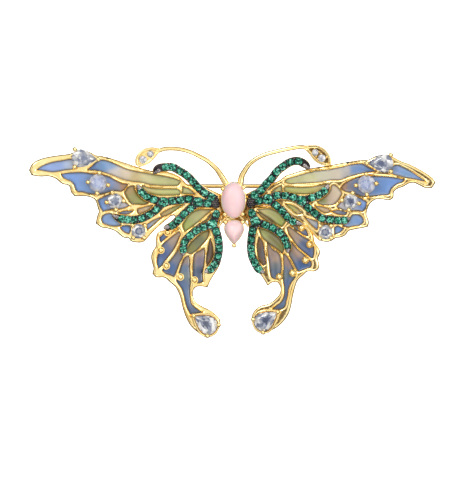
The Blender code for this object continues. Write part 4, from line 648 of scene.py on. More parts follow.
def stone_outline(setting, sides=24):
    kind, centre, heading, _ = setting
    if kind == "pear":
        return pear(centre, PEAR_LENGTH, PEAR_WIDTH, heading, sides)
    diameter = {"cabochon": MOONSTONE_D, "round": ROUND_D, "small": SMALL_D}[kind]
    return circle(centre, diameter / 2, sides)


def scaled(loop, share):
    middle = sum(loop, Vector((0, 0))) / len(loop)
    return [middle + (p - middle) * share for p in loop]


def sides_of(loops):
    """The start and end points of every side of some outlines, as arrays."""
    starts = np.array([tuple(p) for loop in loops for p in loop])
    ends = np.array([tuple(p) for loop in loops for p in loop[1:] + loop[:1]])
    return starts, ends


def distances(places, starts, ends):
    """Distance from each place to the nearest of some sides."""
    best = np.full(len(places), 1e9)
    way = ends - starts
    length = np.maximum((way ** 2).sum(1), 1e-12)
    for low in range(0, len(places), 1000):
        part = places[low:low + 1000, None, :] - starts
        share = np.clip((part * way).sum(2) / length, 0, 1)
        gap = part - share[..., None] * way
        best[low:low + 1000] = np.sqrt((gap ** 2).sum(2)).min(1)
    return best


def within(places, loop):
    """Whether an outline goes round each place."""
    ring = np.array([tuple(p) for p in loop])
    x, z = places[:, 0, None], places[:, 1, None]
    a, b = ring, np.roll(ring, -1, axis=0)
    rise = np.where(b[:, 1] == a[:, 1], 1e-12, b[:, 1] - a[:, 1])
    crosses = (a[:, 1] > z) != (b[:, 1] > z)
    left = x < a[:, 0] + (z - a[:, 1]) / rise * (b[:, 0] - a[:, 0])
    return (crosses & left).sum(1) % 2 == 1


def within_any(places, loops):
    found = np.zeros(len(places), bool)
    for loop in loops:
        found |= within(places, loop)
    return found


def prong_places(loop, centre, angles, radius=PRONG_R):
    """Prong centres that just clear a stone's girdle, in the given directions."""
    starts, ends = sides_of([loop])
    places = []
    for degrees in angles:
        way = np.array((cos(radians(degrees)), sin(radians(degrees))))
        steps = np.array(centre) + way * np.arange(0.3, 4, 0.01)[:, None]
        clear = (distances(steps, starts, ends) >= radius + 0.03) & ~within(steps, loop)
        places.append(Vector(steps[np.argmax(clear)]))
    return places


def ribbon(route, half_width, wide, reach=0.55, narrow=0.35):
    """The outline of a rail along a route, wider at its large stones and narrow at its end."""
    run = smooth(route, closed=False, steps=6)
    swell = [Vector(route[i]) for i in wide if i < len(route)]
    end, last = Vector(route[-1]), Vector(route[-2])
    left, right = [], []
    for i, point in enumerate(run):
        way = (run[min(i + 1, len(run) - 1)] - run[max(i - 1, 0)]).normalized()
        side = Vector((-way.y, way.x))
        width = half_width
        for place in swell:
            width += (BIG_SEAT - RAIL_HALF_WIDTH) * exp(-((point - place).length / reach) ** 4)
        taper = min(1.0, (point - end).length / (last - end).length)
        width *= narrow + (1 - narrow) * sqrt(taper)
        left.append(point + side * width)
        right.append(point - side * width)
    return left + right[::-1]


# ---------------------------------------------------------------- building a mesh

class Shape:
    """A mesh in the making, in millimetres.  The sign is the side whose wings it leans with."""

    def __init__(self, sign=0):
        self.sign = sign
        self.points = []
        self.faces = []
        self.looks = []
        self.flat = []
        self.shades = []
        self.paint = {}

    def add(self, points, faces, look=0, flat=False, shades=None, paint=None):
        """More points and faces; each face has a look and a shade, a stone facet's painted reflection,
        and each point a colour, the enamel's with its painted shadow.
        """
        first = len(self.points)
        self.points.extend(tuple(p) for p in points)
        self.faces.extend(tuple(first + i for i in face) for face in faces)
        self.looks.extend([look] * len(faces))
        self.flat.extend([flat] * len(faces))
        self.shades.extend(shades if shades is not None else [0.5] * len(faces))
        if paint is not None:
            for i, colour in enumerate(paint):
                self.paint[first + i] = colour

    def rings(self, rings, look=0, capped=True):
        """A skin through rings of points; each ring has the same count."""
        count = len(rings[0])
        faces = []
        for r in range(len(rings) - 1):
            here, after = r * count, (r + 1) * count
            for i in range(count):
                j = (i + 1) % count
                faces.append((here + i, here + j, after + j, after + i))
        if capped:
            faces.append(tuple(range(count)))
            faces.append(tuple(len(rings) * count - 1 - i for i in range(count)))
        self.add([p for ring in rings for p in ring], faces, look)

    def make(self, name, looks, body="brooch", slot=None, replaces=(), sharp=40):
        """The finished object, riding on its body."""
        places = np.array(self.points, float)
        if self.sign:
            angle = -self.sign * TILT
            x, y = places[:, 0] + self.sign * WING_OUT, places[:, 1].copy()
            places[:, 0] = x * cos(angle) - y * sin(angle)
            places[:, 1] = x * sin(angle) + y * cos(angle) - WING_BACK
        mesh = bpy.data.meshes.new(name)
        mesh.from_pydata((places * MM).tolist(), [], self.faces)
        for look in looks:
            mesh.materials.append(look)
        mesh.polygons.foreach_set("material_index", self.looks)
        mesh.polygons.foreach_set("use_smooth", [not f for f in self.flat])
        # Each face's shade, the painted reflection that the stones' materials read
        facet = mesh.attributes.new("facet", "FLOAT", "FACE")
        facet.data.foreach_set("value", self.shades)
        if self.paint:
            paint = mesh.attributes.new("paint", "FLOAT_COLOR", "POINT")
            values = np.ones((len(places), 4), np.float32)
            for i, colour in self.paint.items():
                values[i, :3] = colour
            paint.data.foreach_set("color", values.ravel())
        work = bmesh.new()
        work.from_mesh(mesh)
        bmesh.ops.recalc_face_normals(work, faces=work.faces)
        work.to_mesh(mesh)
        work.free()
        mesh.set_sharp_from_angle(angle=radians(sharp))
        thing = bpy.data.objects.new(name, mesh)
        bpy.context.scene.collection.objects.link(thing)
        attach(thing, body)
        if replaces:
            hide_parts(*replaces)


def at(loop, height):
    """An outline as points at a height above the back."""
    return [(p[0], -height, p[1]) for p in loop]


def fill(loops, extra=()):
    """Triangles over everything that the outlines go round, with extra points inside."""
    places, edges = [], []
    for loop in loops:
        first = len(places)
        places.extend(Vector(p) for p in loop)
        edges.extend((first + i, first + (i + 1) % len(loop)) for i in range(len(loop)))
    places.extend(Vector(p) for p in extra)
    verts, _, faces, _, _, _ = delaunay_2d_cdt(places, edges, [], 0, 1e-5)
    return np.array([tuple(v) for v in verts]), np.array(faces)


def rim_edges(faces):
    """The edges that only one of the triangles has, in that triangle's direction."""
    seen = {}
    for a, b, c in faces.tolist():
        for edge in ((a, b), (b, c), (c, a)):
            seen[edge] = True
    return [edge for edge in seen if (edge[1], edge[0]) not in seen]


def rows_inside(places, edges, offsets):
    """Points that follow the edges at each offset to their inner side."""
    normals = {}
    for a, b in edges:
        way = places[b] - places[a]
        normal = np.array((-way[1], way[0])) / max(np.hypot(*way), 1e-9)
        normals.setdefault(a, []).append(normal)
        normals.setdefault(b, []).append(normal)
    rows = []
    for index, near in normals.items():
        normal = sum(near)
        length = np.hypot(*normal)
        if length > 0.3:
            rows.extend((places[index] + normal / length * d, d) for d in offsets)
    return rows


def grid(places, spacing):
    """Evenly staggered points over a box round some places."""
    low, high = places.min(0), places.max(0)
    found = []
    for row, z in enumerate(np.arange(low[1], high[1], spacing * 0.87)):
        for x in np.arange(low[0] + spacing / 2 * (row % 2), high[0], spacing):
            found.append((x, z))
    return np.array(found).reshape(-1, 2)


def rounded(distance, radius):
    """How far a rounded edge has dropped, at a distance from the edge."""
    share = 1 - np.clip(distance / radius, 0, 1)
    return radius * (1 - np.sqrt(np.clip(1 - share ** 2, 0, 1)))


def plate(shape, outer, cells, low, top, floor=0.0, rim=RIM, look=0):
    """A plate with rounded edges and sunk cells.  The top is a height or a function of x."""
    loops = list(outer) + list(cells)
    places, faces = fill(loops)
    middles = places[faces].mean(1)
    solid = within_any(middles, outer)
    kept = solid & ~within_any(middles, cells)
    edges = rim_edges(faces[kept])
    starts, ends = places[[a for a, _ in edges]], places[[b for _, b in edges]]
    rows = rows_inside(places, edges, [rim * share for share in ROW_SHARES])
    extra = np.array([p for p, _ in rows])
    wanted = np.array([d for _, d in rows])
    extra = extra[distances(extra, starts, ends) > 0.93 * wanted]
    inner = grid(places, PLATE_GRID)
    inner = inner[distances(inner, starts, ends) > 1.3 * rim]
    places, faces = fill(loops, np.vstack((extra, inner)))
    middles = places[faces].mean(1)
    solid = within_any(middles, outer)
    kept = solid & ~within_any(middles, cells)
    sunk = solid & ~kept
    drop = rounded(distances(places, starts, ends), rim)
    back_edges = rim_edges(faces[solid])
    back_starts, back_ends = (places[[e[k] for e in back_edges]] for k in (0, 1))
    rise = rounded(distances(places, back_starts, back_ends), rim * BACK_ROUNDING)
    tops = top(places[:, 0]) if callable(top) else np.full(len(places), top)
    levels = {"top": tops - drop, "floor": np.full(len(places), floor), "back": low + rise}
    index, points = {}, []

    def corner(level, i):
        if (level, i) not in index:
            index[level, i] = len(points)
            points.append((places[i][0], -levels[level][i], places[i][1]))
        return index[level, i]

    skin = [[corner("top", i) for i in face] for face in faces[kept].tolist()]
    skin += [[corner("back", i) for i in reversed(face)] for face in faces[solid].tolist()]
    skin += [[corner("floor", i) for i in face] for face in faces[sunk].tolist()]
    outside = set(back_edges)
    for a, b in rim_edges(faces[kept]):
        level = "back" if (a, b) in outside else "floor"
        skin.append([corner("top", b), corner("top", a), corner(level, a), corner(level, b)])
    for a, b in rim_edges(faces[sunk]):
        if (a, b) in outside:
            skin.append([corner("floor", b), corner("floor", a),
                         corner("back", a), corner("back", b)])
    shape.add(points, skin, look)


def dome(shape, loop, steps, look=0):
    """A solid through scaled copies of an outline; steps are (share, height)."""
    shape.rings([at(scaled(loop, share), height) for share, height in steps], look)


def post(shape, place, radius, low, top):
    """A straight post with a round head."""
    head = [(cos(a), top - radius + radius * sin(a)) for a in np.linspace(0, 1.35, 7)]
    dome(shape, circle(place, radius, 16), [(1.0, low)] + head)


def bead(shape, place, radius, low, rise, look=0, sides=14):
    """A small bead that stands on a surface."""
    steps = [(1.0, low - radius * 0.4), (1.0, low)]
    steps += [(cos(a), low + rise * sin(a)) for a in np.linspace(0.25, 1.35, 5)]
    dome(shape, circle(place, radius, sides), steps, look)


def tube(shape, path, radii, sides=16):
    """A round bar along (x, y, z) points with a radius at each."""
    points = [Vector(p) for p in path]
    rings = []
    for i, point in enumerate(points):
        way = (points[min(i + 1, len(points) - 1)] - points[max(i - 1, 0)]).normalized()
        across = way.cross(Vector((0, 1, 0))).normalized()
        up = across.cross(way).normalized()
        rings.append([tuple(point + (across * cos(a) + up * sin(a)) * radii[i])
                      for a in (2 * pi * k / sides for k in range(sides))])
    shape.rings(rings)


def turned(shape, profile, axis, centre, sides, ring=False):
    """A profile of (radius, along) points turned about X or Z; a ring's profile is closed."""
    rings = []
    for k in range(sides):
        a = radians(360 * k / sides)
        place = []
        for radius, along in profile:
            across, up = radius * cos(a), radius * sin(a)
            offset = (along, across, up) if axis == "X" else (across, up, along)
            place.append(tuple(c + o for c, o in zip(centre, offset)))
        rings.append(place)
    if ring:
        shape.rings(rings + rings[:1], capped=False)
    else:
        shape.rings([list(r) for r in zip(*rings)])


def brilliant(shape, loop, base, girdle, table, seed, middle=(0.1, 1.0), crown=(0.1, 1.0),
              contrast=0.55):
    """A faceted stone.  Each facet has its own painted shade, standing for the light reflected inside
    the stone, within the table's or the crown's span.
    """
    chance = random.Random(seed)
    count = len(loop) // 2
    rise = table - girdle
    outer = at(loop, girdle)
    rings = {
        "low": at(loop, girdle - 0.07),
        "girdle": outer,
        "mid": [at(scaled(loop, 0.8), girdle + 0.55 * rise)[2 * k + 1] for k in range(count)],
        "table": [at(scaled(loop, 0.58), table)[2 * k] for k in range(count)],
        "inner": [at(scaled(loop, 0.3), table)[2 * k + 1] for k in range(count)],
        "foot": [at(scaled(loop, 0.3), base)[2 * k] for k in range(count)],
    }
    start, points = {}, []
    for name, ring in rings.items():
        start[name] = len(points)
        points.extend(ring)

    def p(name, k):
        return start[name] + k % len(rings[name])

    faces, shades = [], []

    def facet(span, *corners):
        faces.append(corners)
        shades.append(span[0] + (span[1] - span[0]) * chance.betavariate(contrast, contrast))

    under = (0.1, 0.6)
    for k in range(count):
        even, odd, after = 2 * k, 2 * k + 1, 2 * k + 2
        facet(crown, p("table", k), p("table", k + 1), p("mid", k))
        facet(crown, p("table", k), p("mid", k - 1), p("girdle", even), p("mid", k))
        facet(crown, p("mid", k), p("girdle", even), p("girdle", odd))
        facet(crown, p("mid", k), p("girdle", odd), p("girdle", after))
        facet(middle, p("table", k), p("table", k + 1), p("inner", k))
        facet(middle, p("table", k), p("inner", k - 1), p("inner", k))
        facet(under, p("girdle", even), p("girdle", odd), p("low", odd), p("low", even))
        facet(under, p("girdle", odd), p("girdle", after), p("low", after), p("low", odd))
        facet(under, p("low", even), p("low", odd), p("foot", k))
        facet(under, p("low", odd), p("low", after), p("foot", k + 1), p("foot", k))
    facet(middle, *(p("inner", k) for k in range(count)))
    facet(under, *(p("foot", k) for k in range(count)))
    shape.add(points, faces, flat=True, shades=shades)

# ---------------------------------------------------------------- materials

def linear(colour):
    """A 0 to 255 display colour as linear values."""
    return [c / 255 / 12.92 if c < 10.3 else ((c / 255 + 0.055) / 1.055) ** 2.4 for c in colour]


def material(name, **sockets):
    made = bpy.data.materials.new(name)
    made.use_nodes = True
    shader = made.node_tree.nodes["Principled BSDF"]
    for socket, value in sockets.items():
        shader.inputs[socket.replace("_", " ")].default_value = value
    return made, made.node_tree, shader


def ramp(tree, source, stops):
    """A colour ramp over a value; stops are (place, 0 to 255 colour)."""
    node = tree.nodes.new("ShaderNodeValToRGB")
    while len(node.color_ramp.elements) < len(stops):
        node.color_ramp.elements.new(0.5)
    for element, (place, colour) in zip(node.color_ramp.elements, stops):
        element.position = place
        element.color = (*linear(colour), 1.0)
    tree.links.new(source, node.inputs["Fac"])
    return node.outputs["Color"]


def noise(tree, scale, detail=3.0, space="Object"):
    where = tree.nodes.new("ShaderNodeTexCoord")
    node = tree.nodes.new("ShaderNodeTexNoise")
    node.inputs["Scale"].default_value = scale
    node.inputs["Detail"].default_value = detail
    tree.links.new(where.outputs[space], node.inputs["Vector"])
    return node.outputs["Fac"]


def attribute(tree, name, output):
    """A value that the mesh carries."""
    node = tree.nodes.new("ShaderNodeAttribute")
    node.attribute_name = name
    return node.outputs[output]


def multiplied(tree, first, second):
    """One colour times another."""
    node = tree.nodes.new("ShaderNodeMix")
    node.data_type = "RGBA"
    node.blend_type = "MULTIPLY"
    node.inputs["Factor"].default_value = 1.0
    tree.links.new(first, node.inputs["A"])
    tree.links.new(second, node.inputs["B"])
    return node.outputs["Result"]


def spread(tree, source, low, high):
    """A value that runs from low to high where the source runs from 0.3 to 0.7."""
    node = tree.nodes.new("ShaderNodeMapRange")
    for socket, value in (("From Min", 0.3), ("From Max", 0.7), ("To Min", low), ("To Max", high)):
        node.inputs[socket].default_value = value
    tree.links.new(source, node.inputs["Value"])
    return node.outputs["Result"]


def bump(tree, shader, scale, depth):
    """Relief of a depth in millimetres."""
    node = tree.nodes.new("ShaderNodeBump")
    node.inputs["Strength"].default_value = 1.0
    node.inputs["Distance"].default_value = depth * MM
    tree.links.new(noise(tree, scale, 2.0), node.inputs["Height"])
    tree.links.new(node.outputs["Normal"], shader.inputs["Normal"])


def metal(name, dark, light, roughness, relief):
    """Cast and polished metal: soft changes of tone, faint waves and polishing marks."""
    made, tree, shader = material(name, Metallic=1.0)
    tree.links.new(ramp(tree, noise(tree, 420), [(0.3, dark), (0.7, light)]),
                   shader.inputs["Base Color"])
    tree.links.new(spread(tree, noise(tree, 1800), *roughness), shader.inputs["Roughness"])
    bump(tree, shader, 700, relief)
    return made


def gem(name, stops, transmission, ior, roughness=0.04):
    """A cut stone, whose facets carry painted shades that stand for the light reflected inside it."""
    made, tree, shader = material(name, Roughness=roughness, IOR=ior, Coat_Weight=0.15,
                                  Coat_Roughness=0.02, Transmission_Weight=transmission)
    mixed = tree.nodes.new("ShaderNodeMath")
    mixed.operation = "ADD"
    tree.links.new(attribute(tree, "facet", "Fac"), mixed.inputs[0])
    tree.links.new(spread(tree, noise(tree, 900), -0.08, 0.08), mixed.inputs[1])
    tree.links.new(ramp(tree, mixed.outputs["Value"], stops), shader.inputs["Base Color"])
    return made


def milky(name, stops, scale, depth):
    """A polished, cloudy stone that light passes into."""
    made, tree, shader = material(name, Roughness=0.35, IOR=1.45, Coat_Weight=0.35,
                                  Coat_Roughness=0.12, Subsurface_Weight=0.45,
                                  Subsurface_Scale=depth * MM)
    tree.links.new(ramp(tree, noise(tree, scale), stops), shader.inputs["Base Color"])
    bump(tree, shader, 500, 0.004)
    return made


def enamel(name):
    """Glossy enamel: painted shades, faint clouding and a fired surface that isn't quite flat."""
    made, tree, shader = material(name, Roughness=0.22, Coat_Weight=0.7, Coat_Roughness=0.05)
    shade = ramp(tree, noise(tree, 500, 5.0), [(0.3, (236, 236, 236)), (0.7, (255, 255, 255))])
    tree.links.new(multiplied(tree, attribute(tree, "paint", "Color"), shade),
                   shader.inputs["Base Color"])
    bump(tree, shader, 350, 0.02)
    return made


# Colours run from dark to light, for a stone from its darkest to its brightest painted facet
# reflection, the brightest a painted highlight; then a metal's roughness range and relief, or a
# stone's transmission and index of refraction.
GOLD = metal("gold", (246, 210, 134), (255, 234, 174), (0.08, 0.2), 0.035)
RHODIUM = metal("dark_rhodium", (34, 32, 34), (74, 68, 70), (0.2, 0.4), 0.01)
SILVER = metal("pale_rhodium", (104, 96, 98), (170, 164, 164), (0.15, 0.3), 0.02)
EMERALD = gem("emerald_green", [(0.0, (0, 14, 10)), (0.25, (0, 52, 40)), (0.5, (6, 94, 72)),
                                (0.8, (30, 142, 114)), (1.0, (136, 226, 200))], 0.1, 1.3)
CLEAR = gem("clear_stone", [(0.0, (66, 74, 98)), (0.25, (112, 122, 150)), (0.5, (168, 172, 182)),
                            (0.75, (222, 222, 220)), (1.0, (255, 255, 255))], 0.25, 1.76)
MOON = gem("moonstone", [(0.0, (124, 134, 164)), (0.5, (160, 170, 200)), (1.0, (216, 220, 232))],
           0.1, 1.52, 0.1)
OPAL = milky("pink_opal", [(0.3, (224, 190, 194)), (0.7, (236, 205, 207))], 260, 1.2)
ENAMEL = enamel("enamel")
# The brown of the painted shadow laid along the gold at the edge of each pane of enamel
EDGE_SHADOW_BROWN = linear((50, 34, 22))

# Places of the materials in a rail's list.
GOLD_LOOK = 1
SILVER_LOOK = 2


# ---------------------------------------------------------------- wings

def set_stone(shape, setting, loop):
    """The open cup and the prongs that hold one large stone."""
    shape.rings([at(scaled(loop, share), height) for share, height in CUP], capped=False)
    for place in prong_places(loop, setting[1], setting[3]):
        inward = (Vector(setting[1]) - place).normalized()
        post(shape, place, PRONG_R, CELL_FLOOR, PRONG_TOP - 0.05)
        bead(shape, place + inward * 0.05, PRONG_HEAD_R, PRONG_TOP - 0.25, PRONG_HEAD_RISE,
             sides=20)


def tray(side, part, data, settings, beads, sign):
    """One gold tray with sunk cells, its settings and its beads."""
    shape = Shape(sign)
    outer = [grow(smooth(data[f"{part}_edge"]), EDGE_SWELL)]
    outer += [grow(stone_outline(s), PAD_RIM) for key, s in settings.items() if key in PADS]
    cells = [smooth(points) for points in data[f"{part}_cells"].values()]
    plate(shape, outer, cells, 0.0, PLATE_THICK, CELL_FLOOR)
    for key, setting in settings.items():
        loop = stone_outline(setting)
        if key == "tail_pear":
            plate(shape, [grow(loop, 0.46)], [grow(loop, 0.02)], *TAIL_SETTING, rim=0.2)
        set_stone(shape, setting, loop)
    for place in beads:
        collar = [(1.0, CELL_FLOOR), (1.0, COLLAR_TOP - 0.06), (0.94, COLLAR_TOP)]
        dome(shape, circle(place, COLLAR_R, 28), collar)
        bead(shape, place, BEAD_R, PLATE_THICK + 0.1, 0.5, sides=28)
    shape.make(f"{side}_{part}wing_tray", [GOLD], slot="gold", replaces=[f"{side}_{part}wing"])


def shaded(places, spots):
    """Blend spots of colour over some places; the nearest counts most."""
    spots = np.array([(x, z, *linear(colour)) for x, z, *colour in spots])
    gap = np.hypot(np.abs(places[:, 0, None]) - spots[:, 0], places[:, 1, None] - spots[:, 1])
    weight = 1 / (gap ** 3 + 0.05)
    return (weight[..., None] * spots[:, 2:]).sum(1) / weight.sum(1)[:, None]


def pane(side, key, loop, spots, sign):
    """The enamel of one cell: a low crown that sinks a little where it meets the gold, with a painted
    shadow, a brown line, along the gold.
    """
    shape = Shape(sign)
    loop = grow(loop, 0.015)
    starts, ends = sides_of([loop])
    inner = grid(np.array([tuple(p) for p in loop]), PANE_GRID)
    inner = inner[within(inner, loop)]
    if len(inner):
        inner = inner[distances(inner, starts, ends) > PANE_GRID / 3]
    depths = (PANE_SHADOW, 2.2 * PANE_SHADOW)
    rows = np.array([(*p, depth) for depth in depths for p in grow(loop, -depth)])
    rows = rows[within(rows[:, :2], loop)]
    rows = rows[distances(rows[:, :2], starts, ends) > 0.85 * rows[:, 2]]
    places, faces = fill([loop], np.vstack((rows[:, :2], inner)))
    faces = faces[within(places[faces].mean(1), loop)]
    depth = distances(places, starts, ends)
    height = ENAMEL_LEVEL - 0.05 + PANE_CROWN * (1 - np.exp(-depth / PANE_EDGE))
    top = [(x, -h, z) for (x, z), h in zip(places, height)]
    bottom = [(x, -CELL_FLOOR - 0.02, z) for x, z in places]
    count = len(top)
    skin = faces.tolist() + [[count + i for i in reversed(f)] for f in faces.tolist()]
    skin += [[b, a, count + a, count + b] for a, b in rim_edges(faces)]
    # The painted shadow: the colour turns brown along the gold, where the wall's shade falls
    edge = SHADOW_SHARE * np.exp(-(depth / PANE_SHADOW) ** 2)[:, None]
    colours = (shaded(places, spots) * (1 - edge) + np.array(EDGE_SHADOW_BROWN) * edge).tolist()
    shape.add(top + bottom, skin, paint=colours + colours)
    extra = key.split("_")[-1] in EXTRA_CELLS
    slot = "green_enamel" if key in GREEN_CELLS else "blue_enamel"
    shape.make(f"{side}_{key}_fill", [ENAMEL], slot=slot,
               replaces=() if extra else [f"{side}_enamel_{key}"], sharp=60)


def turned_about(loop, middle, angle):
    """An outline turned about a place."""
    return [middle + Vector((cos(angle) * v.x - sin(angle) * v.y,
                             sin(angle) * v.x + cos(angle) * v.y))
            for v in (p - middle for p in loop)]


def stone_run(route, key):
    """The centres of the stones along one rail."""
    first, plain = RAIL_STONES[key]
    return [Vector(p) for p in route[first:len(route) - plain]]


def rail(side, part, keys, data, sign):
    """A dark rail with its forks, its small stones, beads and plain tails."""
    rails = data["rails"]
    metalwork, stones = Shape(sign), Shape(sign)
    dark, edges = [], []
    for key in keys:
        wide = BIG_STONES.get(key, ())
        dark.append(ribbon(rails[key], RAIL_HALF_WIDTH, wide))
        edges.append(ribbon(rails[key], RAIL_HALF_WIDTH + RAIL_EDGE, wide))
    if part == "fore":
        dark.append(smooth(data["patch"]))
    plate(metalwork, edges, (), RAIL_LOW - 0.1, RAIL_LOW + 0.36, rim=0.16, look=GOLD_LOOK)
    plate(metalwork, dark, (), RAIL_LOW + 0.2, RAIL_TOP, rim=0.2)
    seed = RAIL_SEEDS[side]
    for key in keys:
        route = rails[key]
        run = stone_run(route, key)
        big = [Vector(route[i]) for i in BIG_STONES.get(key, ()) if i < len(route)]
        for place in run:
            seed += 1
            size = BIG_PAVE_D if place in big else PAVE_D
            turn = random.Random(seed).uniform(0, pi / 8)
            loop = turned_about(circle(place, size / 2, 16), place, turn)
            brilliant(stones, loop, RAIL_TOP - 0.3, RAIL_TOP + 0.02, RAIL_TOP + 0.3, seed)
        line = run if key in ("lead", "upper", "vein") else [Vector(route[0])] + run
        for a, b in zip(line, line[1:]):
            across = Vector((a.y - b.y, b.x - a.x)).normalized()
            for offset in (-0.5, 0.5):
                bead(metalwork, (a + b) / 2 + across * offset, 0.17, RAIL_TOP, 0.26,
                     look=SILVER_LOOK, sides=10)
        for share, size in TAIL_BEADS:
            bead(metalwork, run[-1].lerp(Vector(route[-1]), share), size, RAIL_TOP - 0.08, 0.24,
                 look=SILVER_LOOK)
    if part == "fore":
        taken = [p for key in keys for p in stone_run(rails[key], key)]
        granulate(metalwork, smooth(data["patch"]), taken)
    metalwork.make(f"{side}_{part}_rail", [RHODIUM, GOLD, SILVER], slot="dark_rail",
                   replaces=[f"{side}_{part}_branch"])
    stones.make(f"{side}_{part}_emeralds", [EMERALD], slot="emerald")


def granulate(shape, patch, taken):
    """Tiny beads over a patch, clear of the stones."""
    starts, ends = sides_of([patch])
    spots = grid(np.array([tuple(p) for p in patch]), GRAIN_GRID)
    spots = spots[within(spots, patch)]
    spots = spots[distances(spots, starts, ends) > 0.12]
    for spot in spots:
        if all((Vector(spot) - p).length > PAVE_D / 2 + 0.12 for p in taken):
            bead(shape, Vector(spot), GRAIN_R, RAIL_TOP, 0.14, look=SILVER_LOOK, sides=10)


def gems(side, settings, sign):
    """The five large stones of one side."""
    for number, (key, setting) in enumerate(settings.items()):
        look = MOON if key == "moonstone" else CLEAR
        slot = "moonstone" if key in ("moonstone", "round") else "clear_stone"
        table = MOONSTONE_TABLE if key == "moonstone" else TABLE
        shape = Shape(sign)
        brilliant(shape, stone_outline(setting, 20), STONE_BASE, GIRDLE, table,
                  40 + number + 10 * sign, *STONE_REFLECTION_SHADES[key])
        shape.make(f"{side}_{key}_gem", [look], slot=slot, replaces=[f"{side}_{key}_stone"])


def feeler(side, data, sign):
    """A wire that swells at its root and ends in a leaf with two small stones."""
    shape = Shape(sign)
    run = smooth(data["wire"], closed=False)
    height = RAIL_LOW + 0.29
    count = len(run)
    radii = [WIRE_R + 0.2 * (1 - i / count) ** 3 for i in range(count)]
    root = run[0] + (run[0] - run[1]).normalized() * 0.7
    tube(shape, [(p.x, -height, p.y) for p in [root] + run], radii[:1] + radii)
    leaf = grow(smooth(data["leaf"]), 0.12)
    leaf_top = RAIL_LOW + 0.62
    plate(shape, [leaf], [grow(leaf, -0.5)], RAIL_LOW, leaf_top, RAIL_LOW + 0.36, rim=0.18)
    for number, (place, size) in enumerate(zip(data["leafstones"], LEAF_STONES_D), start=1):
        stone = Shape(sign)
        brilliant(stone, circle(place, size / 2, 16), RAIL_LOW + 0.38, leaf_top,
                  RAIL_LOW + 0.86, 70 + number, (0.35, 1.0), (0.4, 1.0))
        stone.make(f"{side}_leaf_gem_{number}", [CLEAR], slot="clear_stone",
                   replaces=[f"{side}_antenna_stone_{number}"])
        for prong in prong_places(circle(place, size / 2), place, LEAF_PRONGS, LEAF_PRONG_R):
            bead(shape, prong, 0.15, RAIL_LOW + 0.5, 0.2, sides=10)
    shape.make(f"{side}_feeler", [GOLD], slot="gold", replaces=[f"{side}_antenna"])


def wing_side(side, data, settings, sign):
    """Everything in the plane of one pair of wings."""
    fore = {key: value for key, value in settings.items() if key != "tail_pear"}
    hind = {"tail_pear": settings["tail_pear"]}
    tray(side, "fore", data, fore, (), sign)
    tray(side, "hind", data, hind, data["beads"], sign)
    for part, table in (("fore", FORE_SPOTS), ("hind", HIND_SPOTS)):
        for key, points in data[f"{part}_cells"].items():
            name = f"{part}_{key}" if key == "sliver" else key
            pane(side, name, smooth(points), SIDE_SPOTS[side].get(key) or table[key], sign)
    rail(side, "fore", FORE_RAILS, data, sign)
    rail(side, "hind", HIND_RAILS, data, sign)
    gems(side, settings, sign)
    feeler(side, data, sign)


# ---------------------------------------------------------------- body

def cabochon(name, loop, base, node):
    """A domed, polished stone."""
    shape = Shape()
    bulge = [(cos(a), base + 0.3 + (CABOCHON_RISE - 0.3) * sin(a))
             for a in np.linspace(0, 1.5, 16)]
    dome(shape, loop, [(0.94, base), (0.98, base + 0.15)] + bulge)
    shape.make(name, [OPAL], slot="pink_opal", replaces=[node], sharp=80)


def body():
    """The back plate, the two cabochon settings and the struts to the hind wings."""
    shape = Shape()
    mirrored = [(-x, z) for x, z in reversed(THORAX_HALF[1:-1])]
    plate(shape, [smooth(THORAX_HALF + mirrored)], (), 0.0,
          lambda x: THORAX_FRONT + np.abs(x) * tan(TILT), rim=0.2)
    oval = circle((0, 0), OVAL_WIDTH / 2, 64, OVAL_HEIGHT / OVAL_WIDTH)
    drop = pear(DROP_CENTRE, DROP_LENGTH, DROP_WIDTH, -90, 64)
    for loop, centre, angles, top in (
        (oval, (0, 0), (134, 51, 239, -57), FLANGE_FRONT),
        (drop, DROP_CENTRE, (131, 49, -90), FLANGE_FRONT - STEP_DOWN),
    ):
        dome(shape, scaled(loop, 0.8), [(1.0, 0.5), (0.9, 1.6), (1.0, top - 0.1)])
        plate(shape, [grow(loop, 0.1)], (), top - FLANGE_THICK, top + 0.06, rim=0.1)
        for place in prong_places(loop, centre, angles):
            inward = (Vector(centre) - place).normalized()
            post(shape, place, PRONG_R, top - FLANGE_THICK, top + 1.1)
            bead(shape, place + inward * 0.06, PRONG_HEAD_R, top + 0.86, 0.36, sides=20)
    height = FLANGE_FRONT - FLANGE_THICK / 2
    for sign in (-1, 1):
        path = [(sign * (1.0 + 1.5 * t), -height, -2.6 - 1.8 * t) for t in np.linspace(0, 1, 8)]
        tube(shape, path, [0.2] * len(path))
    shape.make("body_frame", [GOLD], slot="gold", replaces=["thorax_setting"])
    cabochon("oval_opal", oval, FLANGE_FRONT + 0.06, "oval_cabochon")
    cabochon("drop_opal", drop, FLANGE_FRONT - STEP_DOWN + 0.06, "drop_cabochon")


# ---------------------------------------------------------------- pin and catch

def soft_box(low_r, high_r, half, bevel=0.08):
    """A ring's cross-section with rounded corners, as (radius, along) points."""
    corners = ((low_r, -half, 180), (high_r, -half, 270), (high_r, half, 0), (low_r, half, 90))
    profile = []
    for radius, along, start in corners:
        centre = (radius + (bevel if radius == low_r else -bevel),
                  along + (bevel if along < 0 else -bevel))
        for step in range(4):
            a = radians(start + 30 * step)
            profile.append((centre[0] + bevel * cos(a), centre[1] + bevel * sin(a)))
    return profile


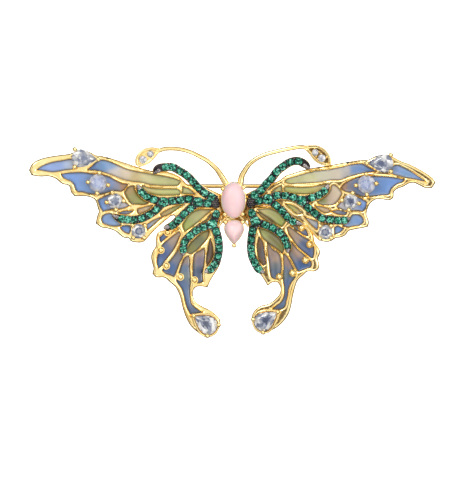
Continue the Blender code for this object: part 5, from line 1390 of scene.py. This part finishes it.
def pin_and_catch():
    """The stem with its eye and the rivet; the other three keep the part's own shapes."""
    pivot = (HINGE_X, PIN_STAND, PIN_Z)
    stem = Shape()
    turned(stem, soft_box(*PIN_EYE), "Z", pivot, 40, ring=True)
    turned(stem, SHAFT, "X", pivot, 32)
    stem.make("pin_rod", [GOLD], body="pin", slot="gold", replaces=["pin_stem"])
    rivet = Shape()
    profile = [(radius, -along) for radius, along in RIVET_HEAD]
    profile += [(RIVET_R, -1.0), (RIVET_R, 1.0)]
    profile += reversed(RIVET_HEAD)
    turned(rivet, profile, "Z", pivot, 28)
    rivet.make("rivet", [GOLD], slot="gold", replaces=["hinge_rivet"])
    for name in ("hinge_base", "catch_base", "safety_sleeve"):
        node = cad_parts[name]
        node.data.materials.clear()
        node.data.materials.append(GOLD)
        node.data.shade_smooth()
        edge = node.modifiers.new("soft_edges", "BEVEL")
        edge.width = 0.05 * MM
        edge.segments = 2
        edge.limit_method = "ANGLE"
        edge.angle_limit = radians(40)
        edge.harden_normals = True


# ---------------------------------------------------------------- studio

def surface(name, work, look, height):
    """One of the studio's own surfaces, made from a bmesh."""
    mesh = bpy.data.meshes.new(name)
    work.to_mesh(mesh)
    work.free()
    mesh.materials.append(look)
    thing = bpy.data.objects.new(name, mesh)
    thing.location.z = height
    thing.visible_diffuse = thing.visible_glossy = thing.visible_shadow = False
    bpy.context.scene.collection.objects.link(thing)


def studio():
    """White floor and backdrop, soft lights, and a room that is darker at its sides."""
    white, tree, shader = material("studio_white", Roughness=0.9, Emission_Strength=1.0)
    tree.links.new(ramp(tree, noise(tree, 3), [(0.0, (250, 250, 250)), (1.0, (255, 255, 255))]),
                   shader.inputs["Base Color"])
    shader.inputs["Emission Color"].default_value = (1, 1, 1, 1)
    round_room = bmesh.new()
    bmesh.ops.create_icosphere(round_room, radius=2.0, subdivisions=4)
    surface("backdrop", round_room, white, 0.0)
    ground = bmesh.new()
    bmesh.ops.create_grid(ground, size=1.0)
    surface("floor", ground, white, -0.3)
    for name, place, size, power in LIGHTS:
        light = bpy.data.lights.new(name, "AREA")
        light.size = size
        light.energy = power
        lamp = bpy.data.objects.new(name, light)
        lamp.location = place
        lamp.rotation_euler = (-Vector(place)).to_track_quat("-Z", "Y").to_euler()
        bpy.context.scene.collection.objects.link(lamp)
    world = bpy.data.worlds.new("studio")
    world.use_nodes = True
    bpy.context.scene.world = world
    tree = world.node_tree
    where = tree.nodes.new("ShaderNodeTexCoord")
    split = tree.nodes.new("ShaderNodeSeparateXYZ")
    shift = tree.nodes.new("ShaderNodeMath")
    shift.operation = "MULTIPLY_ADD"
    shift.inputs[1].default_value = 0.5
    shift.inputs[2].default_value = 0.5
    tree.links.new(where.outputs["Generated"], split.inputs["Vector"])
    tree.links.new(split.outputs["Y"], shift.inputs[0])
    room = ramp(tree, shift.outputs["Value"], SURROUND)
    patches = ramp(tree, noise(tree, 2.4, 1.0, "Generated"), ROOM_PATCHES)
    background = tree.nodes["Background"]
    tree.links.new(multiplied(tree, room, patches), background.inputs["Color"])
    background.inputs["Strength"].default_value = ROOM_LIGHT


def camera():
    """A level view from straight in front, without perspective."""
    data = bpy.data.cameras.new("camera")
    data.type = "ORTHO"
    data.ortho_scale = PICTURE_WIDTH * MM
    thing = bpy.data.objects.new("camera", data)
    thing.location = [c * MM for c in CAMERA_PLACE]
    thing.rotation_euler = (pi / 2, 0, 0)
    bpy.context.scene.collection.objects.link(thing)
    bpy.context.scene.camera = thing
    bpy.context.scene.view_settings.view_transform = "Standard"


wing_side("left", LEFT, LEFT_SETTINGS, -1)
wing_side("right", RIGHT, RIGHT_SETTINGS, 1)
body()
pin_and_catch()
studio()
camera()
